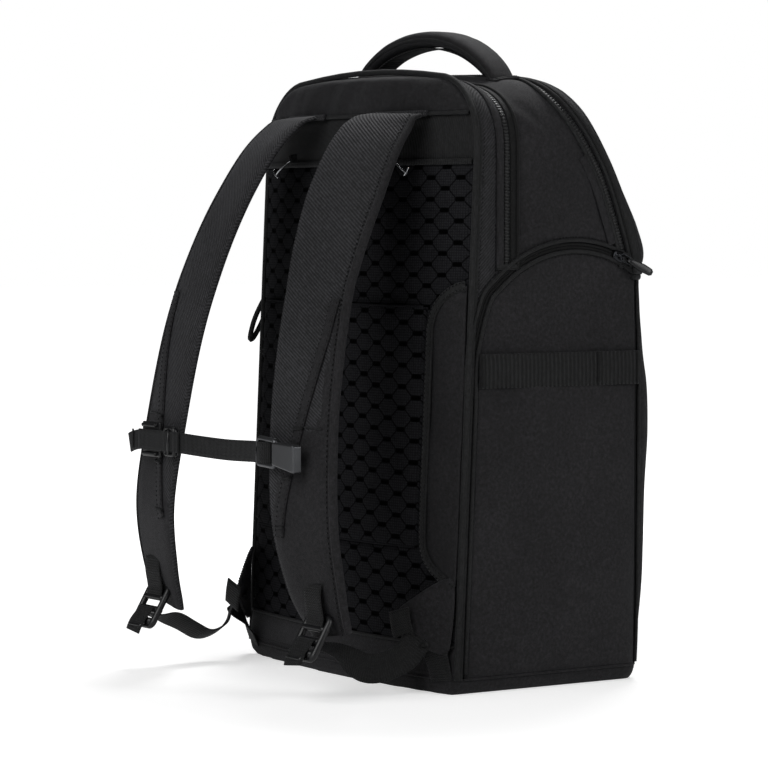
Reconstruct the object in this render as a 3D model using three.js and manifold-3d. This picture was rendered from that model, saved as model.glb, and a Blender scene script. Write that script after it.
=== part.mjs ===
// A racket backpack: padded harness at +Y, rounded hood at -Y, side door at -X.
// Millimetres, +Z up, origin on the ground under the middle of the body.
import * as THREE from 'three';
import { LoftGeometry } from 'three/addons/geometries/LoftGeometry.js';
import { mergeVertices } from 'three/addons/utils/BufferGeometryUtils.js';
import Module from 'manifold-3d';

const wasm = await Module();
wasm.setup();

// ---- driving dimensions ----
const HALF_WIDTH = 165; // half the body's width
const TOP = 525; // crown of the body
const SHOULDER = 459; // height where the top corners start to round
const TOP_RADIUS = 60; // radius of the top corners, seen from the front
const BACK_Y = 96; // back edge at the ground
const BACK_LEAN = 0.045; // how far the back edge moves forward per millimetre of height
const CROWN = 18; // how far the middle of the back stands proud of its edges
const FRONT_BULGE = 6; // the same for the front
const WALL = 4; // padded fabric wall
const GAP = 0.3; // clearance between neighbours
const FAR = 400; // reach of a cutting block
const PAD_EDGE = 3; // thickness of the back pads at the body's edge
const BASE_TOP = 13; // height of the base tray
const DOOR_CENTRE = [-30, 258]; // side door's arc, as Y and Z
const DOOR_RADIUS = 118;
const DOOR_FRONT = -99; // hinge line of the side door
const ZIP_HALF = 4; // half the width of a zip strip
const LAPTOP_ZIP = [30, 52]; // Y range of the laptop zip
const LAPTOP_ZIP_END = 357;
const HOOD_LIP = 353; // lower edge of the hood
const TOP_PANEL_HALF = 118; // half the length of the top panel
const SLEEVE = { low: 122, high: 325, from: -118, to: 150, tunnel: 98, depth: 13, skin: 3 };
const WING = { edge: -127, low: 101, high: 331 };
const YOKE_SEAM = 488; // where the shoulder straps are sewn in
const BAND_LOW = 446;
const MESH_LOW = 41;
const WEBBING = { width: 28, thickness: 1.6 }; // adjuster webbing
const STERNUM = { z: 205, depth: 141.7, half: 10 }; // height, distance behind the back edge
const PIPING_RADIUS = 2.4;
const SIDE_BAND = { thickness: 2, rear: 66, low: 257, high: 286 }; // webbing on the side door
const LEFT_ZIP = { y: 66, low: 120, high: 338 };
const DIVIDER = { front: 21, rear: 26, high: 470 }; // laptop divider
const FRAME_SHEET = { from: 0.8, to: 2.6 }; // distance in front of the back pads
const POCKET = { front: -84, rear: 44, low: 44, high: 214, wall: 2 }; // bottle pocket
const HANDLE_Y = 5;
const ANCHOR = { width: 28, thickness: 1.8 };
const STRAP_TILT = 8; // degrees the pads turn outwards
const RAIL_TAPE = { width: 18, thickness: 1.2, lift: 7.4 };
const TAB = { stand: 14, thickness: 2 }; // sewn corner tab
const SLIDER = { size: [3.6, 12, 7.4], low: 0.2, high: 3.8 };
const PULL = { size: [2, 6], low: 4.3, high: 6.3 };
const HOOK_WIRE = 3.2;

const FRONT_PROFILE = [
  [0, -100], [12, -103], [57, -106], [134, -110], [210, -115], [261, -115], [318, -108],
  [350, -107], [360, -114], [396, -103], [421, -91], [448, -78], [473, -64], [493, -55],
  [508, -46], [515, -34], [519, -22], [522, -8], [TOP, 12],
];
const MAIN_ZIP = [
  [-12, 545], [-12, 515], [-23, 493], [-39, 466], [-57, 436], [-70, 404], [-82, 368],
];

// ---- materials ----
const paint = (color, roughness, metalness = 0) =>
  new THREE.MeshStandardMaterial({ color, roughness, metalness });
const NYLON = paint(0x27262a, 0.85);
const TWILL = paint(0x29292b, 0.8);
const MESH = paint(0x232325, 0.9);
const TAPE = paint(0x1e1f20, 0.7);
const PLASTIC = paint(0x17181a, 0.5);
const STEEL = paint(0xb4b6b8, 0.3, 1);
const GRAPHITE = paint(0x55575b, 0.4, 0.9);
const BOARD = paint(0x2b2d30, 0.6);

const bag = new THREE.Group();

// ---- helpers ----
// A closed mesh as a solid, with the faces that merging collapses left out.
function solid(geometry) {
  const bare = new THREE.BufferGeometry();
  bare.setAttribute('position', geometry.getAttribute('position'));
  bare.setIndex(geometry.index);
  const merged = mergeVertices(bare, 1e-3);
  const kept = [];
  for (let i = 0; i < merged.index.count; i += 3) {
    const face = [0, 1, 2].map((k) => merged.index.getX(i + k));
    if (new Set(face).size === 3) kept.push(...face);
  }
  return new wasm.Manifold(
    new wasm.Mesh({
      numProp: 3,
      vertProperties: merged.attributes.position.array,
      triVerts: new Uint32Array(kept),
    }),
  );
}

// A cut leaves slivers beside the piece itself, so only the largest body is kept.
function largest(shape) {
  return shape.decompose().reduce((best, one) => (one.volume() > best.volume() ? one : best));
}

function addMesh(name, shape, material) {
  const made = largest(shape).getMesh();
  const geometry = new THREE.BufferGeometry();
  geometry.setAttribute('position', new THREE.BufferAttribute(made.vertProperties, 3));
  geometry.setIndex(new THREE.BufferAttribute(made.triVerts, 1));
  const mesh = new THREE.Mesh(geometry, material);
  mesh.name = name;
  bag.add(mesh);
}

function extruded(points, depth, matrix) {
  const shape = new THREE.Shape(points.map(([a, b]) => new THREE.Vector2(a, b)));
  const geometry = new THREE.ExtrudeGeometry(shape, { depth, bevelEnabled: false });
  return solid(geometry.applyMatrix4(matrix));
}

// A block whose outline is given as Y and Z, from x0 to x1.
function blockX(points, x0 = -FAR, x1 = FAR) {
  const turn = new THREE.Matrix4().set(0, 0, 1, x0, 1, 0, 0, 0, 0, 1, 0, 0, 0, 0, 0, 1);
  return extruded(points, x1 - x0, turn);
}

function box(x0, x1, y0, y1, z0, z1) {
  const shape = new THREE.BoxGeometry(x1 - x0, y1 - y0, z1 - z0);
  shape.translate((x0 + x1) / 2, (y0 + y1) / 2, (z0 + z1) / 2);
  return solid(shape);
}

const rectangle = (y0, y1, z0, z1) => [[y0, z0], [y1, z0], [y1, z1], [y0, z1]];
const backEdge = (z) => BACK_Y - BACK_LEAN * z;

// Value at z on a list of [z, value] pairs.
function along(table, z) {
  const last = table.findIndex((row, i) => i > 0 && z <= row[0]);
  const i = last < 0 ? table.length - 1 : last;
  const [a, b] = [table[i - 1], table[i]];
  return a[1] + ((b[1] - a[1]) * (z - a[0])) / (b[0] - a[0]);
}

// Points of a circle's arc about [cy, cz], angles in degrees.
function arc(centre, radius, from, to, steps) {
  return Array.from({ length: steps + 1 }, (_, i) => {
    const a = THREE.MathUtils.degToRad(from + ((to - from) * i) / steps);
    return [centre[0] + radius * Math.cos(a), centre[1] + radius * Math.sin(a)];
  });
}

// A polyline moved sideways by an amount, to its left when positive.
function shifted(points, amount) {
  return points.map((p, i) => {
    const a = points[Math.max(i - 1, 0)];
    const b = points[Math.min(i + 1, points.length - 1)];
    const length = Math.hypot(b[0] - a[0], b[1] - a[1]);
    return [p[0] - (amount * (b[1] - a[1])) / length, p[1] + (amount * (b[0] - a[0])) / length];
  });
}

const band = (points, half) => [...shifted(points, half), ...shifted(points, -half).reverse()];

// ---- the body's outer shape ----
function halfWidth(z) {
  if (z < SHOULDER) return HALF_WIDTH - along([[0, 6], [4, 2.5], [12, 0], [600, 0]], z);
  const rise = Math.min((z - SHOULDER) / TOP_RADIUS, 1);
  const shoulder = HALF_WIDTH - TOP_RADIUS;
  if (z <= SHOULDER + TOP_RADIUS) return shoulder + TOP_RADIUS * Math.sqrt(1 - rise * rise);
  const crest = SHOULDER + TOP_RADIUS;
  return shoulder * Math.sqrt(Math.max(0.06, 1 - (z - crest) / (TOP + 0.5 - crest)));
}

function ring(z, inset) {
  const outerZ = ((z - inset) * TOP) / (TOP - 2 * inset);
  const w = halfWidth(outerZ) - inset;
  const front = along(FRONT_PROFILE, outerZ) + inset;
  const pulled = along([[0, 2], [6, 0], [519, 0], [521.5, 3], [TOP, 22]], outerZ);
  const back = backEdge(outerZ) - pulled - inset;
  const crown = along([[0, 12], [70, CROWN], [SHOULDER, CROWN], [519, 9], [TOP, 3]], outerZ);
  const frontRadius = Math.min(along([[0, 12], [300, 16], [420, 22], [TOP, 30]], outerZ), w / 2);
  const backRadius = 5;
  const corner = (cx, cy, r, from, steps) => arc([cx, cy], r, from, from + 90, steps);
  const backY = (x) => back + crown * (1 - (x / (w - backRadius)) ** 2);
  const across = [0.75, 0.5, 0.25, 0, -0.25, -0.5, -0.75].map((f) => f * (w - backRadius));
  const forward = [-0.5, 0, 0.5].map((f) => f * (w - frontRadius));
  const points = [
    ...corner(w - backRadius, back - backRadius, backRadius, 0, 2),
    ...across.map((x) => [x, backY(x)]),
    ...corner(backRadius - w, back - backRadius, backRadius, 90, 2),
    ...corner(frontRadius - w, front + frontRadius, frontRadius, 180, 4),
    ...forward.map((x) => [x, front - FRONT_BULGE * (1 - (x / (w - frontRadius)) ** 2)]),
    ...corner(w - frontRadius, front + frontRadius, frontRadius, 270, 4),
  ];
  return points.map(([x, y]) => new THREE.Vector3(x, y, z));
}

function bodyShape(inset) {
  const rounded = [20, 40, 55, 68, 79, 90].map(
    (a) => SHOULDER + TOP_RADIUS * Math.sin(THREE.MathUtils.degToRad(a)),
  );
  const straight = [0, 4, 12, 57, 134, 210, 261, 318, 350, 360, 396, 421, 448, SHOULDER];
  const levels = [...straight, ...rounded, 521.5, 523.6, TOP];
  const scale = (TOP - 2 * inset) / TOP;
  const sections = levels.map((z) => ring(inset + z * scale, inset));
  return solid(new LoftGeometry(sections, { capStart: true, capEnd: true }));
}

const outer = bodyShape(0);
const shell = outer.subtract(bodyShape(WALL));

// ---- cutting blocks ----
// Everything behind a line that follows the lean of the back.
const behind = (offset) =>
  blockX([
    [backEdge(-20) - offset, -20], [FAR, -20], [FAR, 600], [backEdge(600) - offset, 600],
  ]);
const walls = shell.subtract(behind(PAD_EDGE + GAP));
const backPad = outer.intersect(behind(PAD_EDGE));
const zipForward = band(MAIN_ZIP, ZIP_HALF);
const ahead = (offset) => [
  ...shifted(MAIN_ZIP, -offset), [-84 - offset, HOOD_LIP], [-FAR, HOOD_LIP], [-FAR, 545],
];
const doorRear = (z, offset) => [backEdge(z) - PAD_EDGE - GAP - ZIP_HALF + offset, z];
const doorTurn = 321; // height where the side zip leaves its arc for the back edge

// The side door's outline, grown by an offset.
function doorOutline(offset, rearOffset = offset) {
  const radius = DOOR_RADIUS + offset;
  const from = THREE.MathUtils.radToDeg(Math.asin((doorTurn - DOOR_CENTRE[1]) / DOOR_RADIUS));
  const points = arc(DOOR_CENTRE, radius, from, 125.5, 14);
  points[0] = doorRear(points[0][1], rearOffset);
  const ends = [[DOOR_FRONT - 2, points.at(-1)[1]], [DOOR_FRONT - 2, -20]];
  return [...points, ...ends, doorRear(-20, rearOffset)];
}

// ---- back panel ----
function addBackPanel() {
  const slab = (low, high) => box(-FAR, FAR, -FAR, FAR, low, high);
  const wing = box(-FAR, WING.edge, -FAR, FAR, WING.low, WING.high);
  const wingRoom = box(-FAR, WING.edge + GAP, -FAR, FAR, WING.low - GAP, WING.high + GAP);
  const under = (depth) => outer.translate(0, -depth, 0);
  const area = (x0, x1, rise) => box(x0, x1, 0, FAR, SLEEVE.low - rise, SLEEVE.high + rise);
  const deep = area(-SLEEVE.tunnel, SLEEVE.tunnel, 14).subtract(under(SLEEVE.depth));
  const shallow = area(SLEEVE.from, SLEEVE.to, GAP).subtract(under(SLEEVE.skin + GAP));
  const mesh = backPad.intersect(slab(MESH_LOW + GAP, BAND_LOW - GAP)).subtract(wingRoom);
  const hem = 8;
  const inner = SLEEVE.tunnel - hem;
  const outerEdge = SLEEVE.tunnel - GAP;
  const hollows = [[-inner, inner], [outerEdge, FAR], [-FAR, -outerEdge]].map(([from, to]) =>
    under(SLEEVE.skin).intersect(box(from, to, 0, FAR, 0, FAR)),
  );
  const whole = backPad
    .intersect(area(SLEEVE.from + GAP, SLEEVE.to - GAP, 0))
    .subtract(under(SLEEVE.depth - GAP));
  const sleeve = hollows.reduce((left, hollow) => left.subtract(hollow), whole);
  addMesh('yoke_pad', backPad.intersect(slab(YOKE_SEAM + GAP, 600)), NYLON);
  addMesh('yoke_band', backPad.intersect(slab(BAND_LOW, YOKE_SEAM)), TWILL);
  addMesh('back_mesh', mesh.subtract(deep).subtract(shallow), MESH);
  addMesh('back_wing', backPad.intersect(wing), NYLON);
  addMesh('luggage_sleeve', sleeve, MESH);
  addMesh('base_band', backPad.intersect(slab(-1, MESH_LOW)), NYLON);
}

function addPiping() {
  const radius = PIPING_RADIUS;
  const off = radius + GAP;
  const corner = arc([HALF_WIDTH - TOP_RADIUS, SHOULDER], TOP_RADIUS + off, 0, 90, 8);
  const half = [[HALF_WIDTH + off, 14], [HALF_WIDTH + off, 240], ...corner];
  const crest = [[55, TOP - 1.4 + off], [0, TOP + off]];
  const all = [...half, ...crest];
  const mirrored = all.slice(0, -1).reverse().map(([x, z]) => [-x, z]);
  const path = [...all, ...mirrored].map(
    ([x, z]) => new THREE.Vector3(x, backEdge(z) - PAD_EDGE, z),
  );
  const sections = path.map((p, i) => {
    const a = path[Math.max(i - 1, 0)];
    const b = path[Math.min(i + 1, path.length - 1)];
    const tangent = b.clone().sub(a).normalize();
    const side = new THREE.Vector3(0, 1, 0);
    return flatRing(p, tangent, side, radius * 2, radius * 2, radius * 0.59);
  });
  const tube = new LoftGeometry(sections, { capStart: true, capEnd: true });
  addMesh('back_piping', solid(tube), NYLON);
}

// ---- swept strips ----
// A section across a strip: wide along side, thick across it, its corners cut by chamfer.
function flatRing(centre, tangent, side, width, thickness, chamfer) {
  const wide = side.clone().addScaledVector(tangent, -side.dot(tangent)).normalize();
  const thick = tangent.clone().cross(wide);
  const [w, t, c] = [width / 2, thickness / 2, Math.min(chamfer, thickness * 0.35)];
  const square = [[w, -t], [w, t], [-w, t], [-w, -t]];
  const cut = [
    [w, c - t], [w, t - c], [w - c, t], [c - w, t],
    [-w, t - c], [-w, c - t], [c - w, -t], [w - c, -t],
  ];
  const corners = c > 0 ? cut : square;
  return corners.map(([a, b]) =>
    centre.clone().addScaledVector(wide, a).addScaledVector(thick, b),
  );
}

// A strip through points [x, y, z, width, thickness].
function strip(points, side, chamfer) {
  const path = points.map(([x, y, z]) => new THREE.Vector3(x, y, z));
  const sections = path.map((p, i) => {
    const a = path[Math.max(i - 1, 0)];
    const b = path[Math.min(i + 1, path.length - 1)];
    const tangent = b.clone().sub(a).normalize();
    return flatRing(p, tangent, side, points[i][3], points[i][4], chamfer);
  });
  return solid(new LoftGeometry(sections, { capStart: true, capEnd: true }));
}

// ---- walls of the body ----
function addWalls() {
  const sides = (reach) => box(reach, FAR, -FAR, FAR, BASE_TOP, 600);
  const gussetBlock = blockX(rectangle(LAPTOP_ZIP[1] + GAP, FAR, BASE_TOP, 600));
  const doorRoom = blockX(doorOutline(ZIP_HALF + GAP, FAR), -FAR, -100);
  const leftZipRoom = leftZipBlock(GAP);
  addMesh(
    'rear_gusset',
    walls.intersect(gussetBlock).subtract(doorRoom).subtract(leftZipRoom),
    TWILL,
  );
  const laptopBlock = blockX(rectangle(LAPTOP_ZIP[0] + GAP, LAPTOP_ZIP[1], LAPTOP_ZIP_END, 600));
  addMesh('laptop_zip', walls.intersect(laptopBlock).subtract(doorRoom), TAPE);

  const fabric = walls
    .subtract(blockX(rectangle(LAPTOP_ZIP[1], FAR, -20, 600)))
    .subtract(blockX(rectangle(LAPTOP_ZIP[0], FAR, LAPTOP_ZIP_END - GAP, 600)))
    .subtract(blockX(ahead(-ZIP_HALF - GAP)))
    .subtract(blockX(rectangle(-FAR, DOOR_FRONT, -20, HOOD_LIP)));
  const above = fabric.subtract(box(-FAR, FAR, -FAR, FAR, -20, BASE_TOP));
  const right = above.intersect(box(-FAR, -TOP_PANEL_HALF, -FAR, FAR, -20, 600));
  const left = above.intersect(sides(TOP_PANEL_HALF));
  const topSlot = box(GAP - TOP_PANEL_HALF, TOP_PANEL_HALF - GAP, -FAR, FAR, 450, 600);
  addMesh('side_panel_right', right.subtract(doorRoom), NYLON);
  addMesh('side_panel_left', left, NYLON);
  addMesh('top_panel', fabric.intersect(topSlot), NYLON);

  const zipLow = box(-FAR, FAR, -FAR, FAR, HOOD_LIP, 600);
  const mainZip = walls.intersect(blockX(zipForward)).intersect(zipLow);
  addMesh('main_zip', mainZip.subtract(doorRoom), TAPE);
  const hoodBlock = blockX(ahead(ZIP_HALF + GAP));
  addMesh('hood', walls.intersect(hoodBlock).subtract(doorRoom), NYLON);

  const frontBlock = blockX(rectangle(-FAR, DOOR_FRONT - GAP, BASE_TOP, HOOD_LIP - GAP));
  addMesh('front_panel', walls.intersect(frontBlock), NYLON);
  const tray = blockX(rectangle(-FAR, FAR, -20, BASE_TOP - GAP));
  addMesh('base_tray', walls.intersect(tray), NYLON);
}

// ---- side door and its zip ----
function addSideDoor() {
  const reach = box(-FAR, -140, DOOR_FRONT, FAR, BASE_TOP, 600);
  const wholeDoor = walls.intersect(blockX(doorOutline(-ZIP_HALF - GAP))).intersect(reach);
  const stripBlock = blockX(doorOutline(ZIP_HALF)).subtract(blockX(doorOutline(-ZIP_HALF)));
  addMesh('side_zip_right', walls.intersect(stripBlock).intersect(reach), TAPE);
  addMesh('side_door', wholeDoor, NYLON);
  const out = HALF_WIDTH + GAP;
  const { thickness, rear, low, high } = SIDE_BAND;
  addMesh('side_webbing', box(-out - thickness, -out, DOOR_FRONT + 2, rear, low, high), TAPE);
}

function leftZipBlock(grow) {
  const { y, low, high } = LEFT_ZIP;
  return box(100, FAR, y - grow, y + 2 * ZIP_HALF + grow, low - grow, high + grow);
}

function addLeftZip() {
  addMesh('side_zip_left', walls.intersect(leftZipBlock(0)), TAPE);
}

// ---- inside the bag ----
function addInside() {
  const cavity = bodyShape(WALL + GAP);
  const sheet = behind(PAD_EDGE + FRAME_SHEET.to).subtract(behind(PAD_EDGE + FRAME_SHEET.from));
  addMesh('frame_sheet', cavity.intersect(sheet), BOARD);
  const { front, rear, high } = DIVIDER;
  addMesh('laptop_divider', cavity.intersect(box(-FAR, FAR, front, rear, 0, high)), NYLON);
}

// ---- bottle pocket ----
function addBottlePocket() {
  const wall = HALF_WIDTH + GAP;
  const level = (z, bulge, inset, inner) => {
    const steps = 8;
    const span = [POCKET.front + inset, POCKET.rear - inset];
    const mid = (span[0] + span[1]) / 2;
    const half = (span[1] - span[0]) / 2;
    const curve = Array.from({ length: steps + 1 }, (_, i) => {
      const a = -Math.PI / 2 + (Math.PI * i) / steps;
      const x = wall + (bulge - inset) * Math.cos(a) ** 0.55;
      return new THREE.Vector3(i % steps ? x : wall, mid + half * Math.sin(a), z);
    });
    if (inner) {
      curve[0].x = wall - POCKET.wall;
      curve[steps].x = wall - POCKET.wall;
    }
    return curve;
  };
  const build = (inset, inner, low, high) => {
    const bulges = [[low, 12], [low + 22, 20], [high, 23]];
    const sections = bulges.map(([z, bulge]) => level(z, bulge, inset, inner));
    return solid(new LoftGeometry(sections, { capStart: true, capEnd: true }));
  };
  const { low, high, wall: skin } = POCKET;
  const pocket = build(0, false, low, high).subtract(build(skin, true, low + 3, high + 2));
  addMesh('bottle_pocket', pocket, MESH);
}

// ---- haul handle ----
function addHandle() {
  const half = [
    [97, 526, 20, 8], [90, 531, 24, 10], [76, 540.5, 28, 12],
    [55, 549, 28, 12.5], [28, 555.5, 28, 12.5], [0, 558, 28, 12.5],
  ];
  const row = ([x, z, width, thickness]) => [x, HANDLE_Y, z, width, thickness];
  const points = [
    ...half.map(row),
    ...half.slice(0, -1).reverse().map(([x, ...rest]) => row([-x, ...rest])),
  ];
  addMesh('haul_handle', strip(points, new THREE.Vector3(0, 1, 0), 3), NYLON);
  for (const [name, sign] of [['right', -1], ['left', 1]]) {
    const anchor = strip(
      [[100, 521.2], [109, 520.4], [118, 519]].map(
        ([x, z]) => [sign * x, HANDLE_Y, z, ANCHOR.width, ANCHOR.thickness],
      ),
      new THREE.Vector3(0, 1, 0),
      0,
    );
    addMesh('handle_anchor_' + name, anchor, TAPE);
  }
}

// ---- shoulder straps, one per side ----
// Stations of the pad: distance from the middle, distance behind the back edge, height,
// width, thickness.
const PAD_PATH = [
  [76, 22, 487, 70, 4], [78, 36, 481, 72, 7], [84, 58, 455, 75, 9], [92, 83, 406, 78, 10],
  [99, 102, 353, 79, 10], [106, 115, 297, 80, 10], [113, 124, 226, 80, 10],
  [124, 127, 150, 78, 10], [130, 116, 92, 68, 10], [134, 102, 56, 48, 8],
];
// The rail's height and its distance outwards from the pad's middle.
const RAIL = [[330, 27], [300, 23], [262, 13], [228, 2], [196, -9], [165, -20], [140, -26]];
// Ladder lock: its place, half its width and height, and the lower edges of its two slots.
const LOCK = { x: 134, p: 130, z: 55, half: [18, 20], slotHalf: 14.5, slots: [-11, 1], slot: 8 };

function addStrap(name, sign) {
  const tilt = THREE.MathUtils.degToRad(STRAP_TILT);
  const side = new THREE.Vector3(Math.cos(tilt), -sign * Math.sin(tilt), 0);
  const pad = PAD_PATH.map(([x, p, z, w, t]) => [sign * x, backEdge(z) + p, z, w, t]);
  addMesh('strap_pad_' + name, strip(pad, side, 3.5), TWILL);

  // Webbing rail that crosses the pad's outer face from its outer to its inner edge.
  const depthAt = PAD_PATH.map((row) => [-row[2], row[1]]);
  const middleAt = PAD_PATH.map((row) => [-row[2], row[0]]);
  const rail = RAIL.map(([z, offset]) => {
    const x = along(middleAt, -z) + offset;
    const y = backEdge(z) + along(depthAt, -z) + RAIL_TAPE.lift - offset * Math.tan(tilt);
    return [sign * x, y, z, RAIL_TAPE.width, RAIL_TAPE.thickness];
  });
  addMesh('strap_rail_' + name, strip(rail, side, 0), TAPE);

  addLadderLock(name, sign);
  addMesh('corner_tab_' + name, cornerTab(sign), NYLON);
}

// The ladder lock, with the loop that holds it to the pad and the webbing through it.
function addLadderLock(name, sign) {
  const y = backEdge(LOCK.z) + LOCK.p;
  const x = sign * LOCK.x;
  const [across, up] = LOCK.half;
  const frame = box(x - across, x + across, y - 5, y + 1, LOCK.z - up, LOCK.z + up);
  const slots = LOCK.slots.map((edge) => {
    const low = LOCK.z + edge;
    return box(x - LOCK.slotHalf, x + LOCK.slotHalf, y - 20, y + 20, low, low + LOCK.slot);
  });
  const ladder = slots.reduce((all, slot) => all.subtract(slot), frame);
  addMesh('ladder_lock_' + name, ladder, PLASTIC);

  const webbing = (points) => {
    const rows = points.map((point) => [...point, WEBBING.width, WEBBING.thickness]);
    return strip(rows, new THREE.Vector3(1, 0, 0), 0);
  };
  const loop = [[x, backEdge(88) + 124, 90], [x, y - 6, 82], [x, y - 7.5, 66]];
  addMesh('lock_loop_' + name, webbing(loop), TAPE);
  const run = [
    [sign * 150, backEdge(18) + 10, 16],
    [sign * 147, backEdge(24) + 17, 22],
    [sign * 141, backEdge(30) + 45, 25],
    [sign * 136, backEdge(30) + 90, 23],
    [x, y - 12, 30],
    [x, y - 8.4, 44],
  ];
  addMesh('adjuster_webbing_' + name, webbing(run), TAPE);
}

// A triangular tab sewn to the body's lower back corner, standing off to hold the webbing.
function cornerTab(sign) {
  const outline = [[162, 98], [162, 50], [150, 46], [126, 62], [126, 76]];
  const place = new THREE.Matrix4().makeTranslation(0, backEdge(70) + TAB.stand, 0);
  place.multiply(new THREE.Matrix4().makeRotationX(Math.PI / 2));
  return extruded(outline.map(([x, z]) => [sign * x, z]), TAB.thickness, place);
}

// ---- sternum strap ----
function addSternum() {
  const y = backEdge(STERNUM.z) + STERNUM.depth;
  // A block between two X values, with half its size in Y and what it adds to the webbing's height.
  const block = (x0, x1, halfY, rise) => {
    const reach = STERNUM.half + rise;
    return box(x0, x1, y - halfY, y + halfY, STERNUM.z - reach, STERNUM.z + reach);
  };
  const [buckleX, ladderX, tailX, tailEnd] = [-117, 75, 96, 152];
  const [plugFrom, plugTo] = [buckleX + 18, buckleX + 38];
  addMesh('sternum_buckle_plate', block(buckleX - 16, buckleX + 16, 4, 4), GRAPHITE);
  const slot = block(plugTo - 8, plugTo - 4, 9, -1);
  addMesh('sternum_buckle_frame', block(plugFrom, plugTo, 3, 2).subtract(slot), GRAPHITE);
  const through = block(ladderX - FAR, ladderX + FAR, 1.2, 1);
  addMesh('sternum_triglide', block(ladderX - 8, ladderX + 8, 3, 3).subtract(through), PLASTIC);
  addMesh('sternum_webbing', block(plugTo + GAP, tailX, 0.8, 0), TAPE);
  addMesh('sternum_tail', block(tailX + GAP, tailEnd, 0.8, 0), TAPE);
  const slider = box(97, 129, y - 4.2, y - 1.2, STERNUM.z - 16, STERNUM.z + 16);
  addMesh('sternum_slider', slider, PLASTIC);
}

// ---- zip sliders and their pulls ----
// A slider body on a side face at [y, z], with a pull hanging along a direction in degrees.
function addSlider(name, sign, y, z, heading, pullLength) {
  const face = sign * (HALF_WIDTH + GAP);
  const place = (geometry, from, to) => {
    const middle = (from + to) / 2;
    const a = THREE.MathUtils.degToRad(heading);
    geometry.rotateX(a);
    geometry.translate(face + sign * middle, y, z);
    return geometry;
  };
  const body = new THREE.BoxGeometry(...SLIDER.size);
  addMesh(name + '_slider', solid(place(body, SLIDER.low, SLIDER.high)), STEEL);
  const [thickness, width] = PULL.size;
  const pull = new THREE.BoxGeometry(thickness, pullLength, width);
  pull.translate(0, pullLength / 2 + 1, 0);
  addMesh(name + '_pull', solid(place(pull, PULL.low, PULL.high)), GRAPHITE);
}

function addSliders() {
  addSlider('side_door', -1, -75, 367.1, 202, 32);
  addSlider('main', 1, -80.6, 372, 252, 28);
  addSlider('laptop', 1, 41, 366, -90, 28);
  addSlider('left_pocket', 1, 70, 330, -90, 40);
}

// ---- hooks that hang the bag on a fence ----
function addHook(name, sign) {
  const stations = [[80, 17.5, 452], [90, 20, 447], [99, 23, 441], [104, 25, 434], [104, 27, 427]];
  const wire = strip(
    stations.map(([x, p, z]) => [sign * x, backEdge(z) + p, z, HOOK_WIRE, HOOK_WIRE]),
    new THREE.Vector3(0, 1, 0), 1,
  );
  addMesh('fence_hook_' + name, wire, STEEL);
}

addBackPanel();
addPiping();
addWalls();
addSideDoor();
addLeftZip();
addInside();
addBottlePocket();
addHandle();
addStrap('right', -1);
addStrap('left', 1);
addSternum();
addSliders();
addHook('right', -1);
addHook('left', 1);

export default bag;
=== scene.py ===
"""Looks of a racket backpack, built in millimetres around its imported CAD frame."""
import math

import bmesh
import bpy
import numpy as np
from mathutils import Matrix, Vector
from mathutils.bvhtree import BVHTree


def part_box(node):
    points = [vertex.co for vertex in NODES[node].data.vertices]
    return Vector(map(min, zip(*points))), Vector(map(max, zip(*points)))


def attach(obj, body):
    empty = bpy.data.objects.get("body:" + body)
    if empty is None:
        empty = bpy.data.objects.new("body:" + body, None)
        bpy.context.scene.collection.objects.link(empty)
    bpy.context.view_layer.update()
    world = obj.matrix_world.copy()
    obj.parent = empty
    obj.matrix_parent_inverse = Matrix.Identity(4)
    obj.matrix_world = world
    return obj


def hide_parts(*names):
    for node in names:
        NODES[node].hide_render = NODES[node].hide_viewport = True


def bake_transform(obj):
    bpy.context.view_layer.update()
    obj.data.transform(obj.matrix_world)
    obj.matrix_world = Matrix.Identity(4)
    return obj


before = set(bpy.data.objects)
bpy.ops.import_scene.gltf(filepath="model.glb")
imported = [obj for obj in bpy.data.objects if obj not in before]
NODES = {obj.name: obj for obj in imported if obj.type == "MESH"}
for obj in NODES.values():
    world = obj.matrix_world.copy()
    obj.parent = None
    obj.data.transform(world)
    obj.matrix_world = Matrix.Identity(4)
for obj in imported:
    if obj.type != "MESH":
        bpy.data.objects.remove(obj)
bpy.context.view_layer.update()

MM = 0.001
SIDES = (("right", -1), ("left", 1))

# ---------------------------------------------------------------- body dimensions, millimetres
HALF_WIDTH = 165.0
TOP = 525.0
SHOULDER = 459.0
TOP_RADIUS = 60.0
ROOF = SHOULDER + TOP_RADIUS
FLAT_HALF = HALF_WIDTH - TOP_RADIUS
CROWN = 18.0
FRONT_BULGE = 6.0
PAD_EDGE = 3.0
BASE_TOP = 13.0
HOOD_LIP = 353.0
DOOR_FRONT = -99.0
LAPTOP_ZIP = (30.0, 52.0)
LAPTOP_END = 357.0
LEFT_ZIP = (66.0, 74.0)
YOKE_SEAM = 488.0
BAND_LOW = 446.0
MESH_LOW = 41.0
ZIP_HALF = 4.0
FRONT_PROFILE = np.array([
    (0, -100), (12, -103), (57, -106), (134, -110), (210, -115), (261, -115), (318, -108),
    (350, -107), (360, -112), (396, -103), (421, -91), (448, -78), (473, -64), (493, -55),
    (508, -46), (515, -34), (519, -22), (522, -8), (525, 12)], float)
MAIN_ZIP = [(-12, 545), (-12, 515), (-23, 493), (-39, 466), (-57, 436), (-70, 404), (-82, 368), (-84, 353)]
DOOR_CENTRE = (-30.0, 258.0)
DOOR_RADIUS = 118.0


# ---------------------------------------------------------------- small maths
def unit(v):
    return v / np.maximum(np.linalg.norm(v, axis=-1, keepdims=True), 1e-9)


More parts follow.
